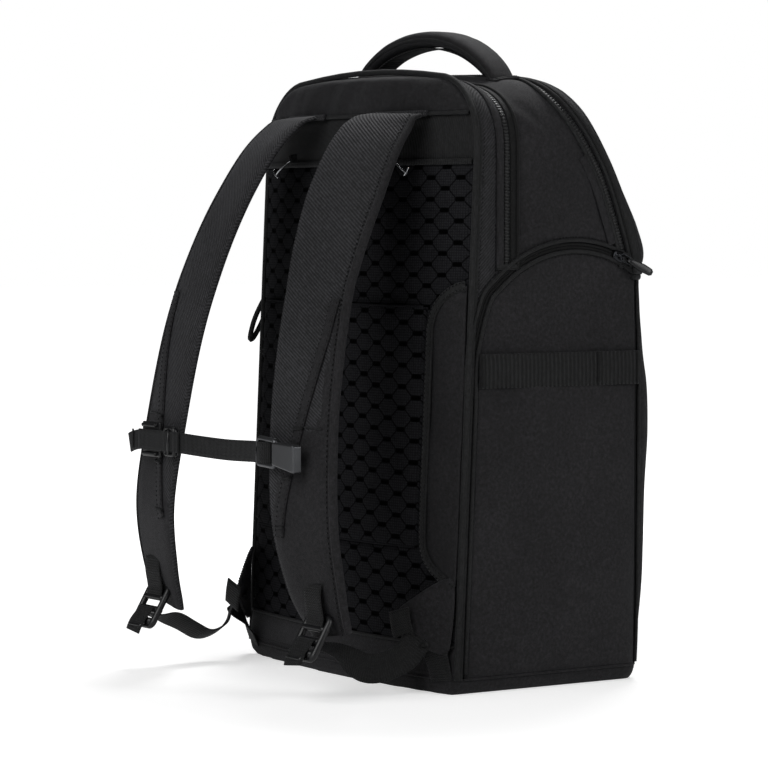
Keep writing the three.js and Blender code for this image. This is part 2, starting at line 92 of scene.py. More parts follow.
def even(points, step, closed=False):
    """Points spaced evenly along a polyline; columns after the third are carried along."""
    p = np.array(points, float)
    if closed:
        p = np.vstack([p, p[:1]])
    s = np.r_[0, np.cumsum(np.linalg.norm(np.diff(p[:, :3], axis=0), axis=1))]
    n = max(2, int(round(s[-1] / step)) + 1)
    q = np.linspace(0, s[-1], n)
    out = np.stack([np.interp(q, s, p[:, k]) for k in range(p.shape[1])], 1)
    return out[:-1] if closed else out


def spline(points, step, closed=False):
    """A smooth curve through points, evenly spaced."""
    p = np.array(points, float)
    if closed:
        ext = np.vstack([p[-1:], p, p[:2]])
    else:
        ext = np.vstack([2 * p[0] - p[1], p, 2 * p[-1] - p[-2]])
    t = np.linspace(0, 1, 20, endpoint=False)[:, None]
    runs = []
    for i in range(1, len(ext) - 2):
        a, b, c, d = ext[i - 1:i + 3]
        runs.append(0.5 * (2 * b + (c - a) * t + (2 * a - 5 * b + 4 * c - d) * t ** 2
                           + (3 * b - a - 3 * c + d) * t ** 3))
    if not closed:
        runs.append(p[-1:])
    return even(np.vstack(runs), step, closed)


def smoothed(rows, passes, closed=False):
    """Rows averaged with their neighbours; the ends of an open run stay put."""
    out = np.array(rows, float)
    for _ in range(passes):
        if closed:
            out = (np.roll(out, 1, 0) + 2 * out + np.roll(out, -1, 0)) / 4
        else:
            out[1:-1] = (out[:-2] + 2 * out[1:-1] + out[2:]) / 4
    return out


def table(pairs, z):
    """Values at z, read between the given pairs."""
    pairs = np.array(pairs, float)
    return np.interp(z, pairs[:, 0], pairs[:, 1])


def ripple(points, size, seed, waves=14):
    """Smooth noise of about unit size, from waves near the given length in millimetres."""
    rng = np.random.default_rng(seed)
    total = np.zeros(len(points))
    for _ in range(waves):
        k = unit(rng.normal(size=3)) * (2 * math.pi / (size * rng.uniform(0.7, 1.8)))
        total += np.sin(points @ k + rng.uniform(0, 2 * math.pi))
    return total / math.sqrt(waves / 2)


def bump_at(points, centre, radii, turn=0.0):
    """A soft spot: 1 at centre, fading over the three radii, turned about X by degrees."""
    d = np.asarray(points) - np.array(centre, float)
    c, s = math.cos(math.radians(turn)), math.sin(math.radians(turn))
    y, z = d[:, 1] * c + d[:, 2] * s, -d[:, 1] * s + d[:, 2] * c
    q = (d[:, 0] / radii[0]) ** 2 + (y / radii[1]) ** 2 + (z / radii[2]) ** 2
    return np.exp(-q)


def polygon_distance(points, polygon):
    """Signed distance of 2-D points to a polygon, positive inside."""
    poly = np.array(polygon, float)
    nxt = np.roll(poly, -1, 0)
    best = np.full(len(points), 1e9)
    inside = np.zeros(len(points), bool)
    for a, b in zip(poly, nxt):
        ab = b - a
        t = np.clip(((points - a) @ ab) / max(ab @ ab, 1e-9), 0, 1)
        best = np.minimum(best, np.linalg.norm(points - a - t[:, None] * ab, axis=1))
        cross = (a[1] > points[:, 1]) != (b[1] > points[:, 1])
        if a[1] != b[1]:
            at = a[0] + (points[:, 1] - a[1]) * ab[0] / ab[1]
            inside ^= cross & (points[:, 0] < at)
    return np.where(inside, best, -best)


def ring_faces(count, rings, flip=False):
    """Quads that join closed rings of count vertices, one ring after another."""
    faces = []
    for k in range(rings - 1):
        for j in range(count):
            i = (j + 1) % count
            face = (k * count + j, k * count + i, (k + 1) * count + i, (k + 1) * count + j)
            faces.append(face[::-1] if flip else face)
    return faces


def grid_faces(rows, cols):
    """Quads of a grid of vertices that is stored row by row."""
    i, j = np.meshgrid(np.arange(rows - 1), np.arange(cols - 1), indexing="ij")
    a = i * cols + j
    return np.stack([a, a + cols, a + cols + 1, a + 1], -1).reshape(-1, 4)


def lengths(path):
    """Distance along a path at each of its points."""
    return np.r_[0, np.cumsum(np.linalg.norm(np.diff(path, axis=0), axis=1))]


def read(items, key, columns, kind=float):
    """One property of all items of a mesh, as rows."""
    values = np.zeros(len(items) * columns, kind)
    items.foreach_get(key, values)
    return values.reshape(-1, columns)


def linked(name, data):
    """A new object for the data, in the scene."""
    obj = bpy.data.objects.new(name, data)
    bpy.context.scene.collection.objects.link(obj)
    return obj


# ---------------------------------------------------------------- the body's outer shape
def back_edge(z):
    """Y of the harness side's edge."""
    return 96.0 - 0.045 * z


def half_width(z):
    """Half of the body's width, narrowed at the foot and rounded at the shoulders."""
    z = np.asarray(z, float)
    low = HALF_WIDTH - table([(0, 6), (4, 2.5), (12, 0), (600, 0)], z)
    rise = np.clip((z - SHOULDER) / TOP_RADIUS, 0, 1)
    high = FLAT_HALF + TOP_RADIUS * np.sqrt(1 - rise ** 2)
    crest = FLAT_HALF * np.sqrt(np.maximum(0.04, 1 - (z - ROOF) / 6.5))
    return np.where(z < SHOULDER, low, np.where(z <= ROOF, high, crest))


def crown(z):
    """How far the middle of the harness side stands out."""
    return table([(0, 12), (70, CROWN), (SHOULDER, CROWN), (ROOF, 9), (TOP, 3)], z)


def pulled_in(z):
    """How far the harness side's edge is drawn in at the foot and the crest."""
    return table([(0, 2), (6, 0), (ROOF, 0), (521.5, 3), (TOP, 22)], z)


def front_edge(z):
    """Y of the front, with the corners of its profile softened below the crest."""
    levels = np.arange(-20, 540, 1.0)
    flat = np.interp(levels, FRONT_PROFILE[:, 0], FRONT_PROFILE[:, 1])
    kernel = np.exp(-0.5 * (np.arange(-12, 13) / 4.0) ** 2)
    soft = np.convolve(np.pad(flat, 12, "edge"), kernel / kernel.sum(), "valid")
    keep = np.clip((levels - 500) / 12, 0, 1)
    return np.interp(z, levels, soft * (1 - keep) + flat * keep)


def back_surface(x, z):
    """Y of the harness side's outer face, crowned across the width."""
    across = np.clip(np.abs(x) / np.maximum(half_width(z) - 5, 1), 0, 1.2)
    return back_edge(z) - pulled_in(z) + crown(z) * (1 - across ** 2)


def body_ring(z):
    """The body's outline at height z, anticlockwise from the left rear corner."""
    w = float(half_width(z))
    front = float(front_edge(z))
    back = back_edge(z) - float(pulled_in(z))
    rf = min(float(table([(0, 12), (300, 16), (420, 22), (TOP, 30)], z)), w / 2)
    rb = 5.0
    points = []

    def corner(cx, cy, r, start, steps):
        for i in range(steps + 1):
            a = math.radians(start + 90 * i / steps)
            points.append((cx + r * math.cos(a), cy + r * math.sin(a), z))
    corner(w - rb, back - rb, rb, 0, 3)
    for f in np.linspace(0.9, -0.9, 19):
        points.append((f * (w - rb), back + float(crown(z)) * (1 - f * f), z))
    corner(rb - w, back - rb, rb, 90, 3)
    for f in np.linspace(0.08, 0.92, 12):
        points.append((-w, back - rb + f * (front + rf - back + rb), z))
    corner(rf - w, front + rf, rf, 180, 6)
    for f in np.linspace(-0.9, 0.9, 15):
        points.append((f * (w - rf), front - FRONT_BULGE * (1 - f * f), z))
    corner(w - rf, front + rf, rf, 270, 6)
    for f in np.linspace(0.92, 0.08, 12):
        points.append((w, back - rb + f * (front + rf - back + rb), z))
    return points


def body_envelope():
    """The closed body as evenly spaced triangles, with a smooth normal for each corner."""
    levels = [0, 1, 2.5, 4, 8, 12] + list(np.arange(18, SHOULDER, 6))
    levels += [SHOULDER + TOP_RADIUS * math.sin(math.radians(a)) for a in range(0, 91, 6)]
    levels += [520, 521, 522, 523, 524, 525]
    rings = [body_ring(z) for z in levels]
    n = len(rings[0])
    faces = ring_faces(n, len(rings))
    faces.append(tuple(range(n))[::-1])
    faces.append(tuple(range((len(rings) - 1) * n, len(rings) * n)))
    mesh = bpy.data.meshes.new("envelope")
    mesh.from_pydata((np.vstack(rings) * MM).tolist(), [], faces)
    obj = linked("envelope", mesh)
    remesh = obj.modifiers.new("remesh", "REMESH")
    remesh.mode = "VOXEL"
    remesh.voxel_size = 0.0034
    soften = obj.modifiers.new("smooth", "SMOOTH")
    soften.factor = 0.5
    soften.iterations = 4
    bpy.context.view_layer.update()
    done = obj.evaluated_get(bpy.context.evaluated_depsgraph_get()).to_mesh()
    done.calc_loop_triangles()
    co = read(done.vertices, "co", 3) / MM
    normal = read(done.vertices, "normal", 3)
    tris = read(done.loop_triangles, "vertices", 3, int)
    bpy.data.objects.remove(obj)
    # The roof sinks a little where the handle pulls on it.
    co[:, 2] -= 7.0 * np.exp(-((co[:, 1] - 33) / 22) ** 2) * np.clip((co[:, 2] - 485) / 30, 0, 1)
    return np.hstack([co, normal]), tris


ENVELOPE = body_envelope()
SURFACE = BVHTree.FromPolygons(ENVELOPE[0][:, :3].tolist(), ENVELOPE[1].tolist())


def on_body(points):
    """Points dropped onto the body's surface, with smooth outward normals."""
    hits = [SURFACE.find_nearest(Vector(p[:3])) for p in points]
    spots = smoothed(np.array([h[0] for h in hits]), 2)
    normals = unit(smoothed(np.array([h[1] for h in hits]), 6))
    return spots, normals


# ---------------------------------------------------------------- mesh making
def make(name, verts, faces, materials, uv=None, values=None, smooth=True):
    """An object from vertices in millimetres; without uv each face is mapped along its main axis."""
    mesh = bpy.data.meshes.new(name)
    verts = np.asarray(verts, float)
    mesh.from_pydata((verts * MM).tolist(), [], [list(map(int, f)) for f in faces])
    mesh.update()
    mesh.polygons.foreach_set("use_smooth", [smooth] * len(mesh.polygons))
    loops = read(mesh.loops, "vertex_index", 1, int)[:, 0]
    layer = mesh.uv_layers.new(name="UVMap")
    if uv is None:
        normal = read(mesh.polygons, "normal", 3)
        total = read(mesh.polygons, "loop_total", 1, int)[:, 0]
        axis = np.abs(normal).argmax(1).repeat(total)[:, None]
        p = verts[loops]
        uv_loop = np.where(axis == 0, p[:, [1, 2]], np.where(axis == 1, p[:, [0, 2]], p[:, [0, 1]]))
    else:
        uv_loop = np.asarray(uv, float)[loops]
    layer.data.foreach_set("uv", uv_loop.ravel())
    for key, column in (values or {}).items():
        attribute = mesh.attributes.new(key, "FLOAT", "POINT")
        attribute.data.foreach_set("value", np.asarray(column, np.float32))
    for material in materials if isinstance(materials, (list, tuple)) else [materials]:
        mesh.materials.append(material)
    return linked(name, mesh)


def finished(obj):
    """The object with its modifiers worked into the mesh."""
    bpy.context.view_layer.update()
    graph = bpy.context.evaluated_depsgraph_get()
    mesh = bpy.data.meshes.new_from_object(obj.evaluated_get(graph))
    obj.modifiers.clear()
    old = obj.data
    obj.data = mesh
    bpy.data.meshes.remove(old)
    return obj


def thickened(obj, thickness, lined=False):
    """The object grown inwards to a cloth's thickness in millimetres."""
    shell = obj.modifiers.new("thick", "SOLIDIFY")
    shell.thickness = thickness * MM
    shell.offset = -1
    shell.material_offset = int(lined)
    return finished(obj)


def put(obj, body, slot, *replaced):
    """The object tied to its body, with the nodes it stands for hidden; slot is not used."""
    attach(obj, body)
    if replaced:
        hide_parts(*replaced)
    return obj


def flat_profile(width, thickness, crown_height=0.0, steps=6):
    """Section of a flat strip lying on its base: rounded edges, crowned by crown_height."""
    w, t = width / 2, thickness
    top = [(a * w * 0.94, t + crown_height * (1 - a * a)) for a in np.linspace(1, -1, steps + 1)]
    left = [(-w, t * 0.7), (-w, t * 0.25)]
    bottom = [(-w * 0.94, 0), (w * 0.94, 0)]
    right = [(w, t * 0.25), (w, t * 0.7)]
    return np.array(top + left + bottom + right, float)


def round_profile(radius, lift=0.0, steps=10):
    """Section of a cord."""
    a = np.linspace(0, 2 * math.pi, steps, endpoint=False)
    return np.stack([radius * np.cos(a), lift + radius * np.sin(a)], 1)


def oval_profile(wide, high, steps=10):
    """Section of a moulded bar, from its two radii."""
    return round_profile(1.0, 0.0, steps) * np.array([wide, high])


def sweep_arrays(path, normal, profile, closed=False):
    """Vertices, faces and uv of a section (or one section per point) carried along a path."""
    path = np.asarray(path, float)[:, :3]
    n = len(path)
    normal = np.broadcast_to(np.asarray(normal, float), (n, 3))
    if closed:
        tangent = unit(np.roll(path, -1, 0) - np.roll(path, 1, 0))
    else:
        tangent = unit(np.gradient(path, axis=0))
    side = unit(np.cross(tangent, normal))
    up = np.cross(side, tangent)
    profile = np.asarray(profile, float)
    if profile.ndim == 2:
        profile = np.broadcast_to(profile, (n,) + profile.shape)
    m = profile.shape[1]
    verts = path[:, None] + side[:, None] * profile[..., 0:1] + up[:, None] * profile[..., 1:2]
    along, around = lengths(path), lengths(profile[0])
    uv = np.stack(np.meshgrid(along, around, indexing="ij"), -1)
    i, j = np.meshgrid(np.arange(n if closed else n - 1), np.arange(m), indexing="ij")
    a, b = i * m + j, i * m + (j + 1) % m
    c, d = ((i + 1) % n) * m + (j + 1) % m, ((i + 1) % n) * m + j
    faces = np.stack([a, d, c, b], -1).reshape(-1, 4).tolist()
    if not closed:
        faces.append(list(range(m)))
        faces.append(list(range((n - 1) * m, n * m))[::-1])
    return verts.reshape(-1, 3), faces, uv.reshape(-1, 2)


def sweep(name, path, normal, profile, material, closed=False):
    verts, faces, uv = sweep_arrays(path, normal, profile, closed)
    return make(name, verts, faces, material, uv)


def swept(name, path, normal, profile, material, body, slot="webbing_tape", *replaced, closed=False):
    """A swept piece tied to its body."""
    return put(sweep(name, path, normal, profile, material, closed), body, slot, *replaced)


STITCHES = {}


def stitch(key, path, normal, lift=0.2, offset=0.0, pitch=3.6, length=2.5, width=0.8, closed=False):
    """Thread dashes along a path, kept by key until they are built as one piece."""
    path = np.asarray(path, float)[:, :3]
    normal = unit(np.broadcast_to(np.asarray(normal, float), path.shape))
    tangent = unit(np.gradient(path, axis=0))
    side = unit(np.cross(tangent, normal))
    line = even(np.hstack([path + side * offset + normal * lift, normal]), pitch, closed)
    if len(line) < 2:
        return
    tangent = unit(np.gradient(line[:, :3], axis=0))
    up = unit(line[:, 3:])
    side = unit(np.cross(tangent, up))
    half, w, h = length / 2, width / 2, 0.45
    for p, t, s, u in zip(line[:, :3], tangent, side, up):
        ends = [p + t * half - u * 0.2, p - t * half - u * 0.2]
        ends += [p + s * w, p - s * w, p + u * h, p - u * h]
        STITCHES.setdefault(key, []).append(np.array(ends))


def sewn(body, path, lift, pitch=3.4, offset=0.0):
    """Stitches along a path dropped onto the body."""
    spots, normals = on_body(path)
    stitch(body, spots, normals, lift, offset, pitch)


def seam(name, path, profile, material, body="bag", lift=0.0):
    """A strip along a path dropped onto the body."""
    spots, normals = on_body(path)
    return swept(name, spots + normals * lift, normals, profile, material, body)


OCTA = [(0, 2, 4), (2, 1, 4), (1, 3, 4), (3, 0, 4), (2, 0, 5), (1, 2, 5), (3, 1, 5), (0, 3, 5)]


def clip(points, faces, field):
    """The part of a triangle mesh where field is positive, cut along its zero line."""
    f = field(points)
    inside = f >= 0
    count = inside[faces].sum(1)
    whole = faces[count == 3]
    fresh, made, extra = {}, [], []

    def cut(a, b):
        key = (a, b) if a < b else (b, a)
        if key not in fresh:
            a, b = key
            t = min(max(f[a] / (f[a] - f[b]), 0.0), 1.0)
            fresh[key] = len(points) + len(made)
            made.append(points[a] + (points[b] - points[a]) * t)
        return fresh[key]
    for tri in faces[(count > 0) & (count < 3)].tolist():
        poly = []
        for i in range(3):
            a, b = tri[i], tri[(i + 1) % 3]
            if inside[a]:
                poly.append(a)
            if inside[a] != inside[b]:
                poly.append(cut(a, b))
        extra += [(poly[0], poly[k], poly[k + 1]) for k in range(1, len(poly) - 1)]
    points = np.vstack([points] + ([np.array(made)] if made else []))
    faces = np.vstack([whole] + ([np.array(extra, int)] if extra else []))
    used, index = np.unique(faces, return_inverse=True)
    return points[used], index.reshape(-1, 3)


def panel(name, cloth, fields, puff=0.0, reach=12.0, sink=0.0, thick=3.0, detail=None):
    """A lined piece of the body's skin inside all the fields, swelling away from its seams."""
    points, faces = ENVELOPE
    for field in fields:
        points, faces = clip(points, faces, field)
    edge = np.maximum(np.min([field(points) for field in fields], axis=0), 0)
    position, normal = points[:, :3], unit(points[:, 3:6])
    height = puff * (1 - np.exp(-edge / reach)) - sink
    if detail is not None:
        height = height + detail(position) * (1 - np.exp(-edge / (reach * 0.8)))
    obj = make(name, position + normal * height[:, None], faces, [cloth, LINING])
    work = bmesh.new()
    work.from_mesh(obj.data)
    bmesh.ops.remove_doubles(work, verts=work.verts, dist=0.0009)
    work.to_mesh(obj.data)
    work.free()
    return thickened(obj, thick, lined=True)


# ---------------------------------------------------------------- materials
class Look:
    """A node material: one shader whose colour, roughness and bump come from patterns."""

    def __init__(self, name, roughness=0.8, metallic=0.0, sheen=0.0, specular=0.5):
        self.material = bpy.data.materials.new(name)
        self.material.use_nodes = True
        self.tree = self.material.node_tree
        self.shader = self.tree.nodes["Principled BSDF"]
        self.shader.inputs["Roughness"].default_value = roughness
        self.shader.inputs["Metallic"].default_value = metallic
        self.shader.inputs["Sheen Weight"].default_value = sheen
        self.shader.inputs["Sheen Roughness"].default_value = 0.45
        self.shader.inputs["Specular IOR Level"].default_value = specular
        coordinates = self.tree.nodes.new("ShaderNodeTexCoord")
        self.place = coordinates.outputs["Object"]
        split = self.tree.nodes.new("ShaderNodeSeparateXYZ")
        self.tree.links.new(coordinates.outputs["UV"], split.inputs[0])
        self.u, self.v = split.outputs[0], split.outputs[1]

    def link(self, value, socket):
        if isinstance(value, (int, float)):
            socket.default_value = value
        elif value is not None:
            self.tree.links.new(value, socket)

    def math(self, kind, a, b=None, c=None):
        node = self.tree.nodes.new("ShaderNodeMath")
        node.operation = kind
        for value, socket in zip((a, b, c), node.inputs):
            self.link(value, socket)
        return node.outputs[0]

    def noise(self, per_metre, detail=3.0, roughness=0.55, stretch=None):
        node = self.tree.nodes.new("ShaderNodeTexNoise")
        node.inputs["Scale"].default_value = per_metre
        node.inputs["Detail"].default_value = detail
        node.inputs["Roughness"].default_value = roughness
        place = self.place
        if stretch:
            mapping = self.tree.nodes.new("ShaderNodeMapping")
            mapping.inputs["Scale"].default_value = stretch
            self.tree.links.new(place, mapping.inputs["Vector"])
            place = mapping.outputs[0]
        self.tree.links.new(place, node.inputs["Vector"])
        return node.outputs["Fac"]

    def times(self, a, b, plus=None):
        """a times b, with plus added where it is given."""
        if plus is None:
            return self.math("MULTIPLY", a, b)
        return self.math("MULTIPLY_ADD", a, b, plus)

    def limited(self, value):
        """The value kept between 0 and 1."""
        return self.math("MINIMUM", self.math("MAXIMUM", value, 0.0), 1.0)

    def sine(self, angle):
        """Sine of an angle, moved to the range 0 to 1."""
        return self.times(self.math("SINE", angle), 0.5, 0.5)

    def wave(self, value, pitch):
        """A wave over a length in millimetres, from 0 to 1."""
        return self.sine(self.times(value, 2 * math.pi / pitch))

    def attribute(self, name):
        node = self.tree.nodes.new("ShaderNodeAttribute")
        node.attribute_name = name
        return node.outputs["Fac"]

    def ramp(self, value, stops):
        node = self.tree.nodes.new("ShaderNodeValToRGB")
        elements = node.color_ramp.elements
        while len(elements) < len(stops):
            elements.new(0.5)
        for element, (place, colour) in zip(elements, stops):
            element.position = place
            element.color = (*colour, 1)
        self.link(value, node.inputs[0])
        return node.outputs[0]

    def colour(self, socket):
        self.link(socket, self.shader.inputs["Base Color"])

    def roughness(self, socket, low, high):
        self.link(self.times(socket, high - low, low), self.shader.inputs["Roughness"])

    def bump(self, *layers):
        """Layers of (height, strength, depth in millimetres), finest last."""
        last = None
        for height, strength, depth in layers:
            node = self.tree.nodes.new("ShaderNodeBump")
            node.inputs["Strength"].default_value = strength
            node.inputs["Distance"].default_value = depth * MM
            self.link(height, node.inputs["Height"])
            if last is not None:
                self.tree.links.new(last, node.inputs["Normal"])
            last = node.outputs[0]
        self.tree.links.new(last, self.shader.inputs["Normal"])
        return self.material


def tint(colour, factor):
    return tuple(c * factor for c in colour)


def fabric(name, colour, height_of, weave_shading, depth=0.22, roughness=(0.62, 0.85)):
    """Woven cloth: a weave that bumps and is painted into the colour too, as painted shade in its hollows and
    painted highlight on its crests, over slow mottling and fuzz.
    """
    look = Look(name, sheen=0.06, specular=0.22)
    fuzz_share, grit_share, slow_share = 0.25, 1.2, 0.35
    weave = height_of(look)
    fuzz = look.noise(900, 4, 0.7)
    grit = look.noise(360, 3, 0.7)
    slow = look.noise(14, 3, 0.5)
    # The weave's height sets the colour: painted shade in its hollows, painted highlight on its crests; fuzz,
    # grit and mottling are the cloth's own tone.
    mix = look.times(weave, weave_shading, look.times(fuzz, fuzz_share))
    mix = look.times(grit, grit_share, mix)
    mix = look.times(slow, slow_share, mix)
    middle = (weave_shading + fuzz_share + grit_share + slow_share) / 2
    look.colour(look.ramp(look.math("SUBTRACT", mix, middle - 0.5), [
        (0.2, tint(colour, 0.35)), (0.5, colour), (0.8, tint(colour, 2.2))]))
    look.roughness(fuzz, *roughness)
    look.shader.inputs["Sheen Tint"].default_value = (0.85, 0.87, 0.92, 1)
    return look.bump((slow, 0.25, 1.2), (fuzz, 0.35, 0.25), (weave, 0.8, depth))


def plain_weave(pitch):
    def pattern(look):
        across, along = look.wave(look.u, pitch), look.wave(look.v, pitch)
        return look.math("ABSOLUTE", look.math("SUBTRACT", across, along))
    return pattern


def twill_weave(pitch, lean=1.0):
    return lambda look: look.wave(look.times(look.v, lean, look.u), pitch)


def ribs(pitch, across_pitch):
    """Ribs across a strip, broken into yarns."""
    def pattern(look):
        yarn = look.math("SINE", look.times(look.v, 2 * math.pi / across_pitch))
        return look.sine(look.times(look.u, 2 * math.pi / pitch, look.times(yarn, 0.9)))
    return pattern


def solid_look(name, colour, roughness, metallic=0.0, wear=0.25, brushed=None, specular=0.5):
    """Moulded or metal: slight colour drift, fine surface marks, worn patches."""
    look = Look(name, metallic=metallic, specular=specular)
    slow = look.noise(40, 3, 0.5)
    fine = look.noise(1400, 3, 0.6, brushed)
    mix = look.times(fine, 0.35, look.times(slow, 0.65))
    look.colour(look.ramp(mix, [(0.2, tint(colour, 1 - wear)), (0.6, colour), (1.0, tint(colour, 1 + wear))]))
    look.roughness(fine, roughness * 0.8, roughness * 1.25)
    return look.bump((slow, 0.12, 0.4), (fine, 0.25, 0.05))


NYLON_COLOUR = (0.0112, 0.0107, 0.0119)
TWILL_COLOUR = (0.0125, 0.0124, 0.0136)
TAPE_COLOUR = (0.0088, 0.0090, 0.0093)
NYLON = fabric("oxford_nylon", NYLON_COLOUR, plain_weave(1.1), 0.22)
HANDLE_CLOTH = fabric("handle_nylon", tint(NYLON_COLOUR, 0.8), plain_weave(1.1), 0.25)
TWILL = fabric("gusset_twill", TWILL_COLOUR, twill_weave(3.2), 0.34, 0.35)
# A lighter copy of the gusset twill: partly the strap cloth's own tone, partly painted light for the strap's
# lit upper face.
STRAP_TWILL_AND_PAINTED_LIGHT = fabric("strap_twill", tint(TWILL_COLOUR, 1.3), twill_weave(3.0, 0.7), 0.42, 0.4)
WEBBING = fabric("ribbed_webbing", tint(TAPE_COLOUR, 0.6), ribs(2.2, 3.0), 0.3, 0.4)
BAND_CLOTH = fabric("yoke_band_cloth", tint(TAPE_COLOUR, 0.66), ribs(2.1, 60.0), 0.2, 0.3)
RIBBED = fabric("grosgrain_band", tint(TAPE_COLOUR, 0.66), ribs(4.2, 60.0), 0.5, 0.9)
# The zip tape's own black, darkened further as painted shade in the zip channels and along the seams where it
# is drawn.
ZIP_TAPE_AND_SEAM_SHADE = fabric("zip_tape_and_seam_shade", tint(TAPE_COLOUR, 0.26), ribs(1.3, 3.0), 0.45, 0.25)
ZIP_COIL = fabric("zip_coil", TAPE_COLOUR, ribs(2.8, 14.0), 0.55, 0.8, (0.35, 0.5))
BINDING = fabric("edge_binding", tint(TAPE_COLOUR, 0.9), ribs(1.1, 2.2), 0.35, 0.2)
LINING = fabric("lining", (0.016, 0.016, 0.0176), plain_weave(0.9), 0.2)
TACK = fabric("bartack_thread", tint(TAPE_COLOUR, 0.3), ribs(0.8, 5.0), 0.5, 0.3)
THREAD = fabric("thread", tint(TAPE_COLOUR, 0.06), ribs(0.8, 5.0), 0.4, 0.1)
ELASTIC = fabric("pocket_elastic", tint(TAPE_COLOUR, 0.9), ribs(2.2, 4.0), 0.5, 0.4)
PLASTIC = solid_look("moulded_plastic", (0.007, 0.0072, 0.008), 0.34, specular=0.4)
SILVER = solid_look("bright_metal", (0.62, 0.63, 0.65), 0.24, 1.0, 0.12, (1, 1, 12))
GRAPHITE = solid_look("dark_metal", (0.115, 0.118, 0.125), 0.36, 0.9, 0.25, (1, 1, 10))
SLIDER_METAL = solid_look("slider_metal", (0.03, 0.031, 0.034), 0.3, 1.0, 0.2, (1, 1, 10))
BOARD = solid_look("frame_board", (0.03, 0.032, 0.036), 0.6)


# The quilting repeats over a cell this wide and high; each slot reaches this far from its middle.
CELL = (17.2, 18.2)
SLOT_REACH = 3.4


def cell_lines(look):
    """Distances in millimetres to the quilting's slots and to the seams that join them."""
    column = look.math("ROUND", look.math("DIVIDE", look.u, CELL[0]))
    across = look.math("ABSOLUTE", look.times(column, -CELL[0], look.u))
    stagger = look.times(look.math("PINGPONG", column, 1.0), CELL[1] / 2)
    up = look.math("PINGPONG", look.math("SUBTRACT", look.v, stagger), CELL[1] / 2)
    along = look.math("SUBTRACT", across, SLOT_REACH)
    past = look.math("MAXIMUM", along, 0.0)

    def length(a, b):
        return look.math("SQRT", look.times(a, a, look.times(b, b)))
    dx, dz = CELL[0] - 2 * SLOT_REACH, CELL[1] / 2
    share = look.times(along, dx, look.times(up, dz))
    share = look.limited(look.math("DIVIDE", share, dx * dx + dz * dz))
    return length(past, up), length(look.times(share, -dx, along), look.times(share, -dz, up))


def air_mesh_look():
    """Spacer mesh: fine knit over foam, sewn in cells, with painted shade: black in the slots that go through
    and dark along the sewn grooves; the knit's relief is painted into the colour too.
    """
    look = Look("air_mesh", sheen=0.0, specular=0.03)
    knit = look.times(look.wave(look.u, 2.6), look.wave(look.v, 2.2))
    fuzz = look.noise(1000, 4, 0.7)
    grit = look.noise(430, 2, 0.6)
    slow = look.noise(18, 3, 0.5)
    slot_gap, seam_gap = cell_lines(look)
    # Painted shade: the slots are painted black and the sewn grooves dark, where shade falls into them.
    slot_painted_shade = look.limited(look.times(slot_gap, -1.1, 2.75))
    seam_painted_shade = look.limited(look.times(seam_gap, -1.5, 1.25))
    dark = look.math("MAXIMUM", slot_painted_shade, look.times(seam_painted_shade, 0.8))
    dark = look.times(dark, look.attribute("quilted"))
    # The knit's height sets the colour as painted shade and highlight; fuzz, grit and mottling are the mesh's
    # own tone.
    mix = look.times(knit, 0.35, look.times(fuzz, 0.3))
    mix = look.times(grit, 0.5, look.times(slow, 0.3, mix))
    seen = look.times(mix, look.math("SUBTRACT", 1.0, dark))
    look.colour(look.ramp(seen, [
        (0.0, (0.0001, 0.0001, 0.0001)), (0.35, (0.0048, 0.0049, 0.0056)), (0.9, (0.0200, 0.0201, 0.0222))]))
    look.roughness(fuzz, 0.8, 0.95)
    return look.bump((slow, 0.2, 1.0), (fuzz, 0.3, 0.25), (knit, 0.6, 0.25))


AIR_MESH = air_mesh_look()


# ---------------------------------------------------------------- outlines, as Y and Z
def arc_points(centre, radius, degrees):
    """Points on a circle, as pairs."""
    turns = [math.radians(a) for a in degrees]
    return [(centre[0] + radius * math.cos(a), centre[1] + radius * math.sin(a)) for a in turns]


def moved_sideways(line, shift):
    """A line of Y and Z moved across its own direction."""
    tangent = unit(np.gradient(line, axis=0))
    return line + np.stack([tangent[:, 1], -tangent[:, 0]], 1) * shift


def main_zip_line():
    return spline(MAIN_ZIP, 4.0)


def door_line(shift=0.0):
    """The side door's seam from the base up the back edge and over its arc, to the hinge."""
    arc = arc_points(DOOR_CENTRE, DOOR_RADIUS, np.arange(38, 126, 8))
    rear = [(back_edge(z) - 7.3, z) for z in (13, 60, 120, 180, 240, 285)]
    return moved_sideways(spline(rear + arc + [(-99, 353.6)], 5.0), shift)


def door_polygon():
    line = door_line().tolist()
    return [(line[0][0], -30)] + line + [(DOOR_FRONT, line[-1][1]), (DOOR_FRONT - 1e-6, -30)]


def side_of(polygon):
    """Signed distance of points to an outline in the YZ plane, positive inside it."""
    return lambda p: polygon_distance(p[:, 1:3], polygon)


hood_side = side_of(main_zip_line().tolist() + [(-400, 353), (-400, 560)])
door_side = side_of(door_polygon())


def outside_door(p):
    """Clear of the side door's zip channel, which is on the -X side only."""
    return np.where(p[:, 0] < 0, -door_side(p) - ZIP_HALF, 50.0)


def behind_door_front(p):
    return p[:, 1] - DOOR_FRONT


def ahead_of_zip(p):
    return hood_side(p) - ZIP_HALF


def behind_zip(p):
    """Behind the main zip above the hood's lip, and behind the door's hinge line below it."""
    front = np.minimum(DOOR_FRONT - p[:, 1], HOOD_LIP - p[:, 2])
    return -np.maximum(hood_side(p) + ZIP_HALF, front)


def before_gusset(p):
    """Ahead of the laptop zip high up, and of the gusset lower down."""
    low = np.minimum(LAPTOP_ZIP[1] - p[:, 1], LAPTOP_END - p[:, 2])
    return np.maximum(LAPTOP_ZIP[0] - p[:, 1], low)


def above_base(p):
    return p[:, 2] - BASE_TOP


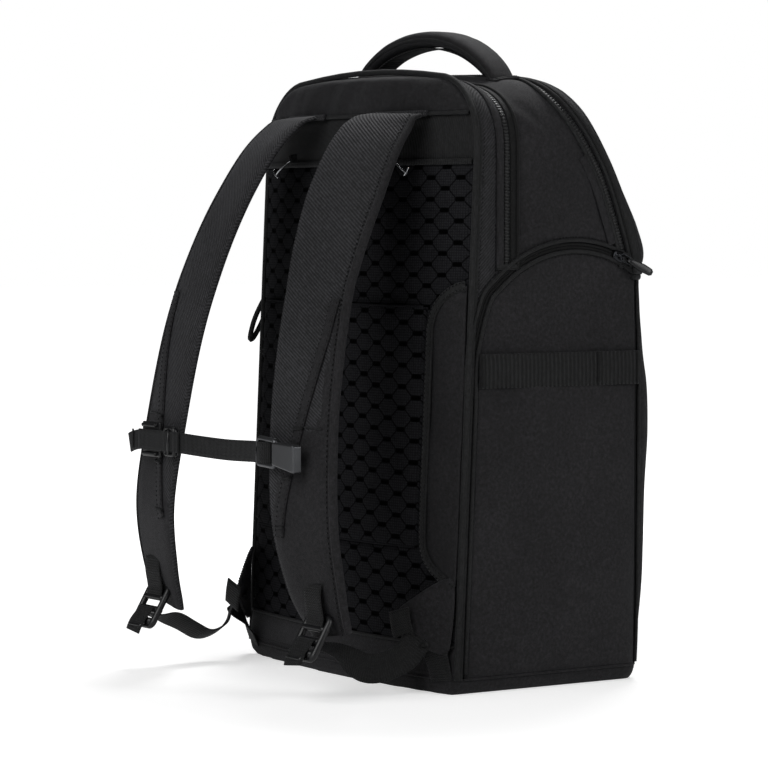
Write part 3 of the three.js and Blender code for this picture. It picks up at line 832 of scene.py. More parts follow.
def left_zip_rectangle(p):
    """Signed distance to the left zip's opening, positive inside it."""
    deep = np.minimum(p[:, 1] - LEFT_ZIP[0], LEFT_ZIP[1] - p[:, 1])
    high = np.minimum(p[:, 2] - 120, 338 - p[:, 2])
    return np.where(p[:, 0] > 0, np.minimum(deep, high), -50.0)


def around_left_zip(p):
    """Positive outside the left zip's opening, with a little room around it."""
    return np.where(p[:, 0] > 0, -left_zip_rectangle(p) - 0.3, 50.0)


# ---------------------------------------------------------------- skin panels
SIDE_FOLDS = (  # y, z, turn in degrees, length, width and rise of each fold
    (22, 492, 38, 46, 6, -2.2), (14, 478, 42, 40, 7, 1.9), (0, 448, 48, 56, 9, -1.8),
    (-8, 430, 46, 50, 9, 1.6), (20, 388, -12, 34, 6, 2.0),
    (12, 377, -8, 36, 5, -1.9), (-20, 388, 30, 30, 7, 1.3))
DOOR_FOLDS = (  # rise, y, z, the two radii across the door and the turn in degrees
    (2.2, 40, 240, 20, 6, -6), (-2.0, 48, 250, 20, 5, -10), (-1.2, 36, 228, 26, 5, 8),
    (-1.0, 30, 196, 10, 40, 10), (1.3, -20, 120, 60, 70, 0), (-1.1, -60, 40, 50, 16, 12))


def side_creases(p):
    """Soft hollows and gathers of the cloth between the two upper zips."""
    h = 1.1 * ripple(p, 85, 3) + 0.35 * ripple(p, 34, 4)
    for y, z, turn, length, width, rise in SIDE_FOLDS:
        for x in (-HALF_WIDTH, HALF_WIDTH):
            h = h + rise * bump_at(p, (x, y, z), (90, length, width), turn)
    return h


def door_creases(p):
    """The door hangs slightly slack, with a pucker under the webbing's rear end."""
    h = 1.2 * ripple(p, 150, 8) + 0.45 * ripple(p, 60, 9)
    for rise, y, z, length, width, turn in DOOR_FOLDS:
        h = h + rise * bump_at(p, (-HALF_WIDTH, y, z), (60, length, width), turn)
    return h


def hood_creases(p):
    swell = 1.2 * bump_at(p, (0, -120, 380), (120, 60, 14))
    return 0.7 * ripple(p, 120, 12) + 0.25 * ripple(p, 45, 13) + swell


def gusset_creases(p):
    return 0.45 * ripple(p, 60, 21) - 0.9 * bump_at(p, (-HALF_WIDTH, 70, 432), (60, 22, 4))


def inside_door(p):
    return np.where(p[:, 0] < 0, door_side(p) - ZIP_HALF, -50.0)


def add_skin():
    sides = panel("body_fabric", NYLON, [before_gusset, behind_zip, above_base, outside_door],
                  3.2, 11, 0.4, detail=side_creases)
    put(sides, "bag", "plain_nylon", "side_panel_right", "side_panel_left", "top_panel")
    hood = panel("hood_shell", NYLON, [ahead_of_zip], 4.0, 12, 0.3, detail=hood_creases)
    put(hood, "hood", "plain_nylon", "hood")
    front = panel("front_shell", NYLON,
                  [lambda p: DOOR_FRONT - 0.3 - p[:, 1], above_base, lambda p: HOOD_LIP - 0.4 - p[:, 2]],
                  2.6, 10, 0.3, detail=door_creases)
    put(front, "bag", "plain_nylon", "front_panel")
    base = panel("base_shell", NYLON, [lambda p: BASE_TOP - 0.4 - p[:, 2]], 0.6, 5, 0.3)
    put(base, "bag", "plain_nylon", "base_tray")
    door = panel("door_shell", NYLON, [inside_door, behind_door_front, above_base],
                 3.4, 10, 0.4, detail=door_creases)
    put(door, "side_door", "plain_nylon", "side_door")
    gusset = panel("gusset_shell", TWILL,
                   [lambda p: p[:, 1] - LAPTOP_ZIP[1], above_base, outside_door, around_left_zip,
                    lambda p: back_edge(p[:, 2]) - PAD_EDGE - 0.3 - p[:, 1]],
                   2.2, 9, 0.3, detail=gusset_creases)
    put(gusset, "bag", "ribbed_twill", "rear_gusset")


def add_zip_beds():
    """The recessed tapes that fill the channels between the panels, in the darkened zip tape: their own black
    with painted shade of the channels.
    """
    beds = (
        ("laptop_zip_tape", "laptop_zip", [
            lambda p: LAPTOP_ZIP[1] - p[:, 1], lambda p: p[:, 1] - LAPTOP_ZIP[0],
            lambda p: p[:, 2] - LAPTOP_END, outside_door]),
        ("main_zip_tape", "main_zip", [
            lambda p: ZIP_HALF + hood_side(p), lambda p: ZIP_HALF - hood_side(p),
            lambda p: p[:, 2] - HOOD_LIP, outside_door]),
        ("side_zip_tape", "side_zip_right", [
            lambda p: np.where(p[:, 0] < -100, ZIP_HALF - np.abs(door_side(p)), -50.0),
            above_base, behind_door_front]),
        ("left_zip_tape", "side_zip_left", [left_zip_rectangle]))
    for name, node, fields in beds:
        put(panel(name, ZIP_TAPE_AND_SEAM_SHADE, fields, sink=1.6, thick=2), "bag", "webbing_tape", node)


# ---------------------------------------------------------------- seams and zips
def half_arch(low, grow=0.0, rise=0.0):
    """X and Z of the outline from low on one side over the shoulder to the crest."""
    line = [(HALF_WIDTH + grow, z) for z in np.arange(low, SHOULDER, 12)]
    line += arc_points((FLAT_HALF, SHOULDER), TOP_RADIUS + grow, range(0, 91, 8))
    return line + [(x, ROOF + rise + 6 * (1 - (x / FLAT_HALF) ** 2)) for x in (80, 50, 20)]


def arch_path(y, low=LAPTOP_END):
    """Round the body from one side over the top to the other, at depth y."""
    side = half_arch(low)
    return even([(-x, y, z) for x, z in side] + [(x, y, z) for x, z in side[::-1]], 3.0)


def main_zip_path(shift, low=HOOD_LIP + 3):
    """Along the main zip up one side, across the top and down the other, moved ahead by shift."""
    line = moved_sideways(main_zip_line(), shift)[::-1]
    line = line[(line[:, 1] >= low) & (line[:, 1] <= 518.5)]
    side = [(-float(half_width(z)), y, z) for y, z in line]
    across = [(x, side[-1][1], 524) for x in np.linspace(-96, 96, 25)]
    return even(side + across + [(-x, y, z) for x, y, z in side[::-1]], 3.0)


def shifted_door(shift):
    """Along the side door's zip; below zero is on the door, above zero is on the bag."""
    line = door_line(shift)
    line = line[(line[:, 1] >= 14.0) & (line[:, 0] >= -94.0)]
    return even([(-HALF_WIDTH, y, z) for y, z in line], 3.0)


def add_coil(name, path):
    """A raised zip coil between flat edges."""
    coil = [(a * 3.4, 2.0 * math.sqrt(max(0, 1 - a * a))) for a in np.linspace(1, -1, 9)]
    seam(name + "_coil", path, np.array(coil + [(-3.4, -0.4), (3.4, -0.4)]), ZIP_COIL, lift=-1.4)


def add_side_zip():
    """Two tapes that meet on a dark line, between the rolled edges of the bag and the door."""
    tape = flat_profile(2.7, 1.3, 0.3)
    # The two tapes are in the darkened zip tape: their own black, with painted shade of the channel where
    # they meet.
    for word, shift, offset in (("in", -1.55, 0.55), ("out", 1.55, -0.55)):
        spots, normals = on_body(shifted_door(shift))
        swept("side_zip_tape_" + word, spots - normals * 1.5, normals, tape, ZIP_TAPE_AND_SEAM_SHADE, "bag")
        stitch("bag", spots, normals, 0.15, offset, 3.0, 2.0, 0.6)
    seam("door_lip", shifted_door(-4.6), flat_profile(3.4, 1.7, 0.6), BINDING, "side_door", 0.2)
    seam("side_zip_lip", shifted_door(4.9), flat_profile(3.2, 1.6, 0.7), BINDING, lift=0.2)
    sewn("bag", shifted_door(7.6), 1.1)
    sewn("side_door", shifted_door(-7.2), 1.2)


def add_main_zip():
    add_coil("main_zip", main_zip_path(0.0))
    seam("main_zip_lip", main_zip_path(-5.4), flat_profile(3.6, 2.0, 0.7), BINDING, lift=0.2)
    # The piping is in the darkened zip tape: dark, with painted shade along the zip.
    seam("main_zip_piping", main_zip_path(-3.4), round_profile(0.9, 0.9), ZIP_TAPE_AND_SEAM_SHADE, lift=-0.3)
    seam("hood_lip_binding", main_zip_path(5.2), flat_profile(3.2, 1.8, 0.7), BINDING, "hood", 0.2)
    seam("hood_second_strip", main_zip_path(12.5), flat_profile(9.0, 1.2, 0.5), BINDING, "hood", 1.6)
    # The cords at the hood strip's edges are in the darkened zip tape: dark lines of painted shade along the
    # strip.
    cord = round_profile(1.2, 0.2)
    for shift in (7.6, 17.4):
        seam(f"hood_strip_edge_{shift:.0f}", main_zip_path(shift), cord, ZIP_TAPE_AND_SEAM_SHADE, "hood", 2.0)
    for shift in (8.8, 16.2):
        sewn("hood", main_zip_path(shift), 2.9)
    for word, sign in SIDES:
        line = [p for p in main_zip_path(-10.5, 377) if p[0] * sign > 150 and p[2] < 452]
        seam("side_reinforcement_" + word, line, flat_profile(7.0, 1.0, 0.3), NYLON, lift=1.6)
    sewn("bag", main_zip_path(-8.2, 378), 2.6)


def add_laptop_zip():
    add_coil("laptop_zip", arch_path(40.5))
    seam("laptop_strip", arch_path(48.3), flat_profile(7.0, 1.7, 0.5), NYLON, lift=-0.4)
    # The strip edge, the front tape and the piping are in the darkened zip tape: their own black, darkened
    # further as painted shade along the zip.
    seam("laptop_strip_edge", arch_path(44.9), round_profile(0.8, 0.6), ZIP_TAPE_AND_SEAM_SHADE, lift=-0.6)
    seam("laptop_tape_front", arch_path(34.2), flat_profile(6.4, 1.3, 0.3), ZIP_TAPE_AND_SEAM_SHADE, lift=-0.9)
    seam("laptop_piping", arch_path(30.4), round_profile(1.5, 0.9), ZIP_TAPE_AND_SEAM_SHADE)
    for y, lift in ((50.8, 1.3), (46.0, 1.3), (32.4, 0.5), (36.6, 0.5)):
        sewn("bag", arch_path(y, LAPTOP_END + 2), lift, 3.2)
    for word, sign in SIDES:
        end = [(sign * HALF_WIDTH, y, 358.5) for y in np.linspace(52, 30, 9)]
        seam("laptop_zip_garage_" + word, end, flat_profile(5, 1.6, 0.4), BINDING)
        sewn("bag", end, 1.9, 2.4, 1.2)


def add_left_zip():
    def at(y):
        return even([(HALF_WIDTH, y, 336), (HALF_WIDTH, y, 122)], 4)
    # The zip's tapes are in the darkened zip tape: their own black, with painted shade in the opening.
    for word, y in (("a", LEFT_ZIP[0] + 2.4), ("b", LEFT_ZIP[1] - 2.4)):
        seam("left_zip_" + word, at(y), flat_profile(2.7, 1.3, 0.3), ZIP_TAPE_AND_SEAM_SHADE, lift=-1.5)
    for word, y in (("front", LEFT_ZIP[0] - 1.6), ("rear", LEFT_ZIP[1] + 1.6)):
        seam("left_zip_lip_" + word, at(y), flat_profile(3.2, 1.8, 0.6), BINDING, lift=0.2)
    sewn("bag", at(LEFT_ZIP[0] - 4.6), 1.2, 3.6)


def add_panel_seams():
    """Rolled seams where the front, base and hood panels meet."""
    spots, normals = on_body(even(body_ring(BASE_TOP), 4, True))
    spots, normals = smoothed(spots, 2, True), unit(smoothed(normals, 3, True))
    swept("base_piping", spots, normals, round_profile(1.1, 0.3), NYLON, "bag", closed=True)
    stitch("bag", spots + np.array([0, 0, 5.0]), normals, 1.0, closed=True)
    lip = [(x, y, HOOD_LIP + 1.5) for x, y, _ in body_ring(HOOD_LIP) if y < -86]
    lip.sort(key=lambda p: p[0])
    spots, normals = on_body(even(lip, 4))
    swept("hood_lower_binding", spots + normals * 1.2, normals, flat_profile(6, 2.0, 0.6), BINDING, "hood")
    stitch("hood", spots + np.array([0, 0, 4.2]), normals, 3.4)
    under = even([(x, y, HOOD_LIP - 4) for x, y, _ in lip], 4)
    seam("front_top_binding", under, flat_profile(5, 1.6, 0.5), BINDING, lift=0.6)
    for word, sign in SIDES:
        line = even([(sign * HALF_WIDTH, DOOR_FRONT - 0.2, z) for z in np.arange(15, 350, 6)], 4)
        seam("front_corner_seam_" + word, line, round_profile(1.4, 0.5), BINDING)


def add_back_piping():
    """Cord piping right round the harness side's edge, with its sewn flange."""
    half = half_arch(13, 0.9, 1.0)
    whole = half + [(-x, z) for x, z in half[::-1]]
    path = even([(x, back_edge(z) - PAD_EDGE, z) for x, z in whole], 4)
    outward = unit((path - np.array([0, 60, 260])) * np.array([1, 0, 1]))
    swept("back_edge_piping", path, outward, round_profile(2.5, 0.4, 12), BINDING, "bag",
          "plain_nylon", "back_piping")
    spots, normals = on_body(path + np.array([0, -4.0, 0]))
    swept("back_edge_flange", spots, normals, flat_profile(4.5, 1.0, 0.4), BINDING, "bag", "plain_nylon")
    sewn("bag", path + np.array([0, -7.6, 0]), 1.3, 3.6)


# ---------------------------------------------------------------- the padded back
def cell_relief(x, z, shift=(0.0, 0.0)):
    """Height of the quilted cells: low cushions parted by sewn lines and pressed slots."""
    x, z = x - shift[0], z - shift[1]
    column = np.round(x / CELL[0])
    across = np.abs(x - column * CELL[0])
    stagger = np.where(column % 2 == 0, 0.0, CELL[1] / 2)
    up = np.abs((z - stagger + CELL[1] / 2) % CELL[1] - CELL[1] / 2)

    def segment(ax, az, bx, bz):
        dx, dz = bx - ax, bz - az
        t = np.clip(((across - ax) * dx + (up - az) * dz) / (dx * dx + dz * dz), 0, 1)
        return np.hypot(across - ax - t * dx, up - az - t * dz)
    slot_line = segment(0, 0, SLOT_REACH, 0)
    lean = segment(SLOT_REACH, 0, CELL[0] - SLOT_REACH, CELL[1] / 2)
    edge = np.minimum(slot_line, lean)
    return 0.45 * (1 - np.exp(-(edge / 2.4) ** 2)) - 0.7 * np.clip((2.3 - slot_line) / 1.4, 0, 1)


def back_sheet(name, xs, zs, lift, material, relief=None, skirt=7.0, outline=None):
    """A grid on the harness side, raised by lift(x, z), with its rim turned down."""
    x, z = np.meshgrid(xs, zs)
    if outline is not None:
        x, z = outline(x, z)
    height = lift(x, z)
    if relief is not None:
        height = height + cell_relief(x, z, relief)
    y = back_surface(x, z) + height
    rows, cols = x.shape
    top = np.stack([x, y, z], -1).reshape(-1, 3)
    index = np.arange(rows * cols).reshape(rows, cols)
    rim = np.r_[index[0], index[1:, -1], index[-1, -2::-1], index[-2:0:-1, 0]]
    low = top[rim] - np.array([0, skirt, 0])
    below = len(top) + np.arange(len(rim))
    skirt_faces = np.stack([rim, np.roll(rim, -1), np.roll(below, -1), below], 1)
    faces = grid_faces(rows, cols).tolist() + skirt_faces.tolist()
    verts = np.vstack([top, low])
    uv = verts[:, [0, 2]] - np.array(relief or (0, 0))
    uv[len(top):, 1] += 3
    return make(name, verts, faces, material, uv, {"quilted": np.full(len(verts), 1.0 if relief else 0.0)})


def back_line(half, z, lift, rise=0.0):
    """Points across the harness side at height z, lifted off it and moved up by rise."""
    xs = np.linspace(-half, half, 110)
    zs = np.full_like(xs, z)
    return np.stack([xs, back_surface(xs, zs) + lift, zs + rise], 1)


def inside_box(x, z, box):
    """Distance in from the nearest side of a box (x0, x1, z0, z1)."""
    x0, x1, z0, z1 = box
    return np.minimum(np.minimum(x - x0, x1 - x), np.minimum(z - z0, z1 - z))


def rim_fall(x, z, box, depth=2.4, reach=4.0):
    return -depth * np.exp(-np.maximum(inside_box(x, z, box), 0) / reach)


SLEEVE = (-118.0, 150.0, 122.0, 325.0)
TUNNEL = 98.0
GRID_STEP = 1.25
Y_AXIS = (0, 1, 0)
WING_LINE = [(-165, 343), (-156, 341), (-143, 334), (-133, 323), (-128, 308), (-127, 288), (-127, 160),
             (-128, 130), (-131, 117), (-140, 106), (-152, 98), (-165, 90)]


def mesh_lift(x, z):
    """The pad falls at its rim, behind the sleeve and under the wing."""
    fall = rim_fall(x, z, (-164, 164, MESH_LOW, BAND_LOW))
    under = np.clip((inside_box(x, z, SLEEVE) + 1) / 3, 0, 1)
    tunnel = np.clip((TUNNEL - np.abs(x)) / 8, 0, 1)
    near = np.exp(-(np.minimum(np.abs(z - SLEEVE[3]), np.abs(z - SLEEVE[2])) / 9) ** 2) * tunnel
    wing = np.clip((-128 - x) / 3, 0, 1) * ((z > 101) & (z < 331))
    sag = 0.25 * np.sin(x / 31) * np.sin(z / 43)
    return fall - under * (2.5 + 7.0 * tunnel) - 1.6 * near - 3.0 * wing + sag


def sleeve_lift(x, z):
    """The sleeve stands off the pad and gapes at its two open ends."""
    open_ends = np.clip((TUNNEL - np.abs(x)) / 30, 0, 1)
    gape = np.exp(-((z - SLEEVE[3]) / 26) ** 2) * 0.8 + np.exp(-((z - SLEEVE[2]) / 22) ** 2)
    sag = 0.4 * np.sin(x / 37 + 1) * np.sin(z / 29)
    return 3.6 + rim_fall(x, z, SLEEVE, 1.6, 3.0) + 2.6 * open_ends * gape + sag


def add_back_panel():
    xs, zs = np.arange(-164, 164.1, GRID_STEP), np.arange(MESH_LOW + 0.3, BAND_LOW, GRID_STEP)
    mesh = back_sheet("back_pad", xs, zs, mesh_lift, AIR_MESH, (4.0, 6.0))
    put(mesh, "bag", "air_mesh", "back_mesh")
    xs = np.arange(SLEEVE[0], SLEEVE[1] + 0.1, GRID_STEP)
    zs = np.arange(SLEEVE[2], SLEEVE[3] + 0.1, GRID_STEP)
    sleeve = back_sheet("sleeve_panel", xs, zs, sleeve_lift, AIR_MESH, (9.0, 2.0), skirt=3.5)
    put(sleeve, "bag", "air_mesh", "luggage_sleeve")
    for word, z in (("top", SLEEVE[3]), ("bottom", SLEEVE[2])):
        xs = np.linspace(SLEEVE[0] + 2, SLEEVE[1] - 2, 70)
        zs = np.full_like(xs, z)
        path = np.stack([xs, back_surface(xs, zs) + sleeve_lift(xs, zs), zs], 1)
        swept("sleeve_hem_" + word, path, Y_AXIS, round_profile(1.0, 0.2), AIR_MESH, "bag")


def yoke_outline(x, z):
    """Stretch a 0 to 1 grid between the yoke's seam and the top of the harness side."""
    beyond = np.maximum(np.abs(x) - FLAT_HALF, 0)
    round_part = SHOULDER + np.sqrt(np.maximum(TOP_RADIUS ** 2 - beyond ** 2, 0)) - 0.4
    top = np.where(beyond <= 0, 518.6 + 5.6 * (1 - (x / FLAT_HALF) ** 2), round_part)
    return x, YOKE_SEAM + 0.3 + z * np.maximum(top - YOKE_SEAM - 0.3, 0.5)


def yoke_lift(x, z):
    """A cushion gathered along its seams."""
    full = yoke_outline(x, np.ones_like(x))[1]
    share = np.clip((z - YOKE_SEAM) / np.maximum(full - YOKE_SEAM, 1), 0, 1)
    swell = np.sqrt(np.clip(share * (1 - share) * 4, 0, 1))
    p = np.stack([x.ravel(), np.zeros(x.size), z.ravel()], 1)
    slanted = p + p[:, [2, 1, 0]] * np.array([0.6, 0, 0])
    gather = 0.9 * ripple(slanted * np.array([1, 1, 0.3]), 34, 31) + 0.12 * ripple(p, 14, 32)
    return 4.2 * swell * np.clip((158 - np.abs(x)) / 14, 0, 1) - 1.5 + gather.reshape(x.shape) * swell


def band_outline(x, z):
    round_part = FLAT_HALF + np.sqrt(np.maximum(TOP_RADIUS ** 2 - np.maximum(z - SHOULDER, 0) ** 2, 0))
    return x / HALF_WIDTH * (np.where(z > SHOULDER, round_part, HALF_WIDTH) - 0.8), z


def band_lift(x, z):
    return rim_fall(x, z, (-400, 400, BAND_LOW, YOKE_SEAM), 1.6, 3.5) + 0.3 * np.sin(x / 21) - 0.8


def base_outline(x, z):
    return x / HALF_WIDTH * (half_width(z) - 0.8), z


def base_lift(x, z):
    return rim_fall(x, z, (-400, 400, 1, MESH_LOW), 2.0, 5) + 0.6 * np.sin(x / 27 + z / 13) - 0.4


def add_back_bands():
    """The yoke cushion, the ribbed band under it and the plain band at the base."""
    yoke = back_sheet("yoke_cushion", np.arange(-156.5, 156.6, 2.0), np.linspace(0, 1, 26), yoke_lift,
                      HANDLE_CLOTH, skirt=5.0, outline=yoke_outline)
    put(yoke, "bag", "plain_nylon", "yoke_pad")
    swept("yoke_piping", back_line(156, YOKE_SEAM, 0.6), Y_AXIS, round_profile(1.7, 0.2), BINDING, "bag")
    xs, zs = np.linspace(-165, 165, 130), np.linspace(BAND_LOW + 0.5, YOKE_SEAM - 0.2, 22)
    band = back_sheet("yoke_ribbed_band", xs, zs, band_lift, BAND_CLOTH, outline=band_outline)
    put(band, "bag", "ribbed_twill", "yoke_band")
    hem = back_line(163, BAND_LOW, -0.6, 1.0)
    swept("band_hem", hem, Y_AXIS, flat_profile(5, 1.6, 0.5), BAND_CLOTH, "bag")
    stitch("bag", hem, Y_AXIS, 2.1)
    base = back_sheet("base_back_band", np.linspace(-165, 165, 110), np.linspace(0.6, MESH_LOW - 0.2, 20),
                      base_lift, NYLON, outline=base_outline)
    put(base, "bag", "plain_nylon", "base_band")
    edge = back_line(163, MESH_LOW, -1.2)
    swept("mesh_lower_piping", edge, Y_AXIS, round_profile(1.5, 0.2), BINDING, "bag")


def add_wing():
    """The plain wing beside the sleeve, its free edge bound and stitched twice."""
    line = spline(WING_LINE, 3.0)
    inside = line[(line[:, 0] > -163.9)]
    zs = np.linspace(inside[-1, 1], inside[0, 1], 110)
    order = np.argsort(line[:, 1])
    rim = np.interp(zs, line[order, 1], line[order, 0])
    t = np.linspace(0, 1, 18)
    x = -164.4 + (rim[:, None] + 164.4) * t[None]
    z = np.repeat(zs[:, None], len(t), 1)
    p = np.stack([x.ravel(), np.zeros(x.size), z.ravel()], 1)
    puff = 1.5 * np.sin(np.pi * np.clip(t, 0, 1))[None] + 0.35 * ripple(p, 50, 41).reshape(x.shape)
    verts = np.stack([x, back_surface(x, z) + 1.7 + puff, z], -1).reshape(-1, 3)
    obj = make("wing_panel", verts, grid_faces(len(zs), len(t)), HANDLE_CLOTH, verts[:, [0, 2]])
    put(thickened(obj, 2.2), "bag", "plain_nylon", "back_wing")
    edge = np.stack([np.minimum(line[:, 0] + 1.5, -126), np.zeros(len(line)), line[:, 1]], 1)
    edge[:, 1] = back_surface(edge[:, 0], edge[:, 2]) + 2.2
    edge = edge[edge[:, 0] > -164]
    swept("wing_binding", edge, Y_AXIS, flat_profile(8.5, 2.0, 0.7), BINDING, "bag")
    for offset in (-2.7, 2.7):
        stitch("bag", edge, Y_AXIS, 2.7, offset, 4.0, 2.7, 1.9)


# ---------------------------------------------------------------- shoulder straps
PAD_PATH = [
    (76, 22, 487, 70, 4), (78, 36, 481, 72, 7), (84, 58, 455, 75, 9), (92, 83, 406, 78, 10),
    (99, 102, 353, 79, 10), (106, 115, 297, 80, 10), (113, 124, 226, 80, 10),
    (124, 127, 150, 78, 10), (130, 116, 92, 68, 10), (134, 102, 56, 48, 8)]
RAIL = [(330, 29), (300, 24), (262, 13), (228, 2), (196, -9), (165, -20), (140, -27)]
LOCK = (134.0, 124.0, 55.0)
LOCK_LEAN = 30.0


class Strap:
    """Frames along one shoulder strap, and points placed on its faces."""

    def __init__(self, sign):
        self.sign = sign
        rows = spline([(sign * x, back_edge(z) + p, z, w, t) for x, p, z, w, t in PAD_PATH], 3.0)
        self.path, self.width, self.thick = rows[:, :3], rows[:, 3], rows[:, 4]
        turn = np.clip((self.path[:, 2] - 340) / 80, 0, 1) * np.clip((492 - self.path[:, 2]) / 16, 0, 1)
        tilt = np.radians(8 + (12 if sign < 0 else 2) * turn)
        side = np.stack([np.cos(tilt), -sign * np.sin(tilt), 0 * tilt], 1)
        self.tangent = unit(np.gradient(self.path, axis=0))
        self.side = unit(side - (self.tangent * side).sum(1, keepdims=True) * self.tangent)
        self.out = unit(np.cross(self.side, self.tangent))
        self.out *= np.sign(self.out[len(self.out) // 2, 1])

    def rise(self, share, thick):
        """Height of a face over the middle plane; share runs from -1 to 1 over the width."""
        return 1.6 + (thick / 2 - 1.6) * np.maximum(1 - np.abs(share) ** 4.5, 0) ** 0.7

    def at(self, z, across, lift=0.0):
        """Points on the outer face: heights z, and millimetres towards the strap's outer edge."""
        z, across = np.atleast_1d(z).astype(float), np.atleast_1d(across).astype(float)
        order = np.argsort(self.path[:, 2])
        heights = self.path[order, 2]

        def pick(values):
            values = values.reshape(len(values), -1)[order]
            return np.stack([np.interp(z, heights, column) for column in values.T], 1)
        width, thick = pick(self.width)[:, 0], pick(self.thick)[:, 0]
        height = self.rise(np.clip(2 * across / width, -1, 1), thick) + lift
        out = unit(pick(self.out))
        spots = pick(self.path) + pick(self.side) * (self.sign * across)[:, None]
        return spots + out * height[:, None], out


def blend_strap(piece):
    """A strap's piece with its transform baked into its mesh."""
    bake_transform(piece)


def add_cushion(name, sign, strap):
    """The pad: twill outside, plain cloth on its lower part and air mesh on the side that is worn."""
    n = len(strap.path)
    share = np.sin(np.linspace(-math.pi / 2, math.pi / 2, 25)) * 0.999
    share = np.sign(share) * np.abs(share) ** 1.15
    top = strap.rise(share[None, :], strap.thick[:, None])
    across = share[None, :] * strap.width[:, None] / 2
    p = strap.path[:, None] + strap.side[:, None] * across[..., None]
    flat = p.reshape(-1, 3)
    wrinkle = (0.30 * ripple(flat, 75, 50 + sign) + 0.05 * ripple(flat, 24, 60 + sign)).reshape(top.shape)
    fade = 1 - np.abs(share) ** 6
    outer = p + strap.out[:, None] * (top + wrinkle * fade)[..., None]
    inner = p - strap.out[:, None] * (top * 0.98)[..., None]
    ring = np.concatenate([outer, inner[:, ::-1]], 1)
    m = ring.shape[1]
    around = np.concatenate([across, across[:, ::-1]], 1)
    uv = np.stack([np.repeat(lengths(strap.path)[:, None], m, 1), around], -1).reshape(-1, 2)
    faces = ring_faces(m, n, sign > 0)
    faces += [tuple(range(m)), tuple(range((n - 1) * m, n * m))[::-1]]
    # The outer twill is the lighter strap twill, partly painted light on the strap's upper face.
    pad = make("strap_cushion_" + name, ring.reshape(-1, 3), faces, [STRAP_TWILL_AND_PAINTED_LIGHT, NYLON, AIR_MESH], uv)
    for polygon in pad.data.polygons[:(n - 1) * m]:
        column, row = polygon.index % m, polygon.index // m
        z = strap.path[row, 2]
        offset = across[row, min(column, 24)] * sign
        if column >= m // 2:
            polygon.material_index = 2
        elif z < 150 or (z < 320 and offset > np.interp(z, [150, 222, 224, 320], [-40, -4, 26, 34])):
            polygon.material_index = 1
    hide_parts("strap_pad_" + name)
    return pad


def add_borders(name, sign, strap):
    """A rolled border along the outer edge with its dark stitching, and a turned inner edge."""
    pieces = []
    borders = (("outer", 1, 2.7, 1.2, NYLON), ("inner", -1, 1.6, 0.6, STRAP_TWILL_AND_PAINTED_LIGHT))
    for word, edge, radius, inset, cloth in borders:
        off = strap.width / 2 - inset
        line = strap.path + strap.side * (sign * edge * off)[:, None]
        flatten = np.clip(strap.thick / 6.4, 0.75, 1.7)
        ring = np.stack([oval_profile(radius, radius * f, 12) for f in flatten])
        pieces.append(sweep(f"strap_border_{word}_{name}", line, strap.out, ring, cloth))
        if edge > 0:
            off = off - 3.6
            height = strap.rise(np.clip(off / (strap.width / 2), 0, 1), strap.thick) + 0.3
            spots = strap.path + strap.side * (sign * off)[:, None] + strap.out * height[:, None]
            stitch("strap_" + name, spots, strap.out, 0.5, 0, 4.2, 3.0, 2.0)
    return pieces


def add_rail(name, strap):
    """The slanting rail with two rows of stitches and bartacks, and the seam of the lower cloth."""
    zs = np.linspace(RAIL[0][0], RAIL[-1][0], 70)
    spots, out = strap.at(zs, table(sorted(RAIL), zs), 0.2)
    pieces = [sweep("strap_rail_tape_" + name, spots, out, flat_profile(11, 1.5, 0.3), NYLON)]
    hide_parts("strap_rail_" + name)
    for offset in (-4.3, 4.3):
        stitch("strap_" + name, spots, out, 1.9, offset, 4.0, 2.4, 1.1)
    for z in (225, 186, 147):
        spots, out = strap.at(np.full(6, z), float(table(sorted(RAIL), z)) + np.linspace(-6.5, 6.5, 6), 2.1)
        pieces.append(sweep(f"rail_bartack_{name}_{z}", spots, out, flat_profile(2.4, 0.9, 0.4), TACK))
    spots, out = strap.at(np.linspace(226, 223, 12), np.linspace(8, 29, 12), 0.1)
    pieces.append(sweep("strap_cloth_seam_" + name, spots, out, round_profile(0.9, 0.3), BINDING))
    return pieces


def add_strap(name, sign):
    strap = Strap(sign)
    pieces = [add_cushion(name, sign, strap)] + add_borders(name, sign, strap) + add_rail(name, strap)
    for piece in pieces:
        blend_strap(piece)


def add_strap_root(name, sign):
    """The strap's cloth turned under the yoke's piping, with its line of stitches."""
    x = np.linspace(42, 110, 30) * sign
    z = np.full(30, YOKE_SEAM - 0.5)
    path = np.stack([x, back_surface(x, z) + 2.6, z], 1)
    swept("strap_root_fold_" + name, path, (0, 1, 0.5), flat_profile(5, 2.6, 0.8), STRAP_TWILL_AND_PAINTED_LIGHT,
          "bag", "ribbed_twill")
    stitch("bag", path + np.array([0, 3.0, 1.0]), (0, 1, 0.5), 0.2)


# ---------------------------------------------------------------- hardware
def rounded_block(name, centre, size, radius, material):
    """A moulded block with rounded edges."""
    work = bmesh.new()
    bmesh.ops.create_cube(work, size=1)
    bmesh.ops.scale(work, vec=Vector(size) * MM, verts=work.verts)
    bmesh.ops.bevel(work, geom=work.edges[:], offset=radius * MM, segments=3, profile=0.6, affect="EDGES")
    bmesh.ops.translate(work, vec=Vector(centre) * MM, verts=work.verts)
    mesh = bpy.data.meshes.new(name)
    work.to_mesh(mesh)
    work.free()
    mesh.polygons.foreach_set("use_smooth", [True] * len(mesh.polygons))
    mesh.materials.append(material)
    return linked(name, mesh)


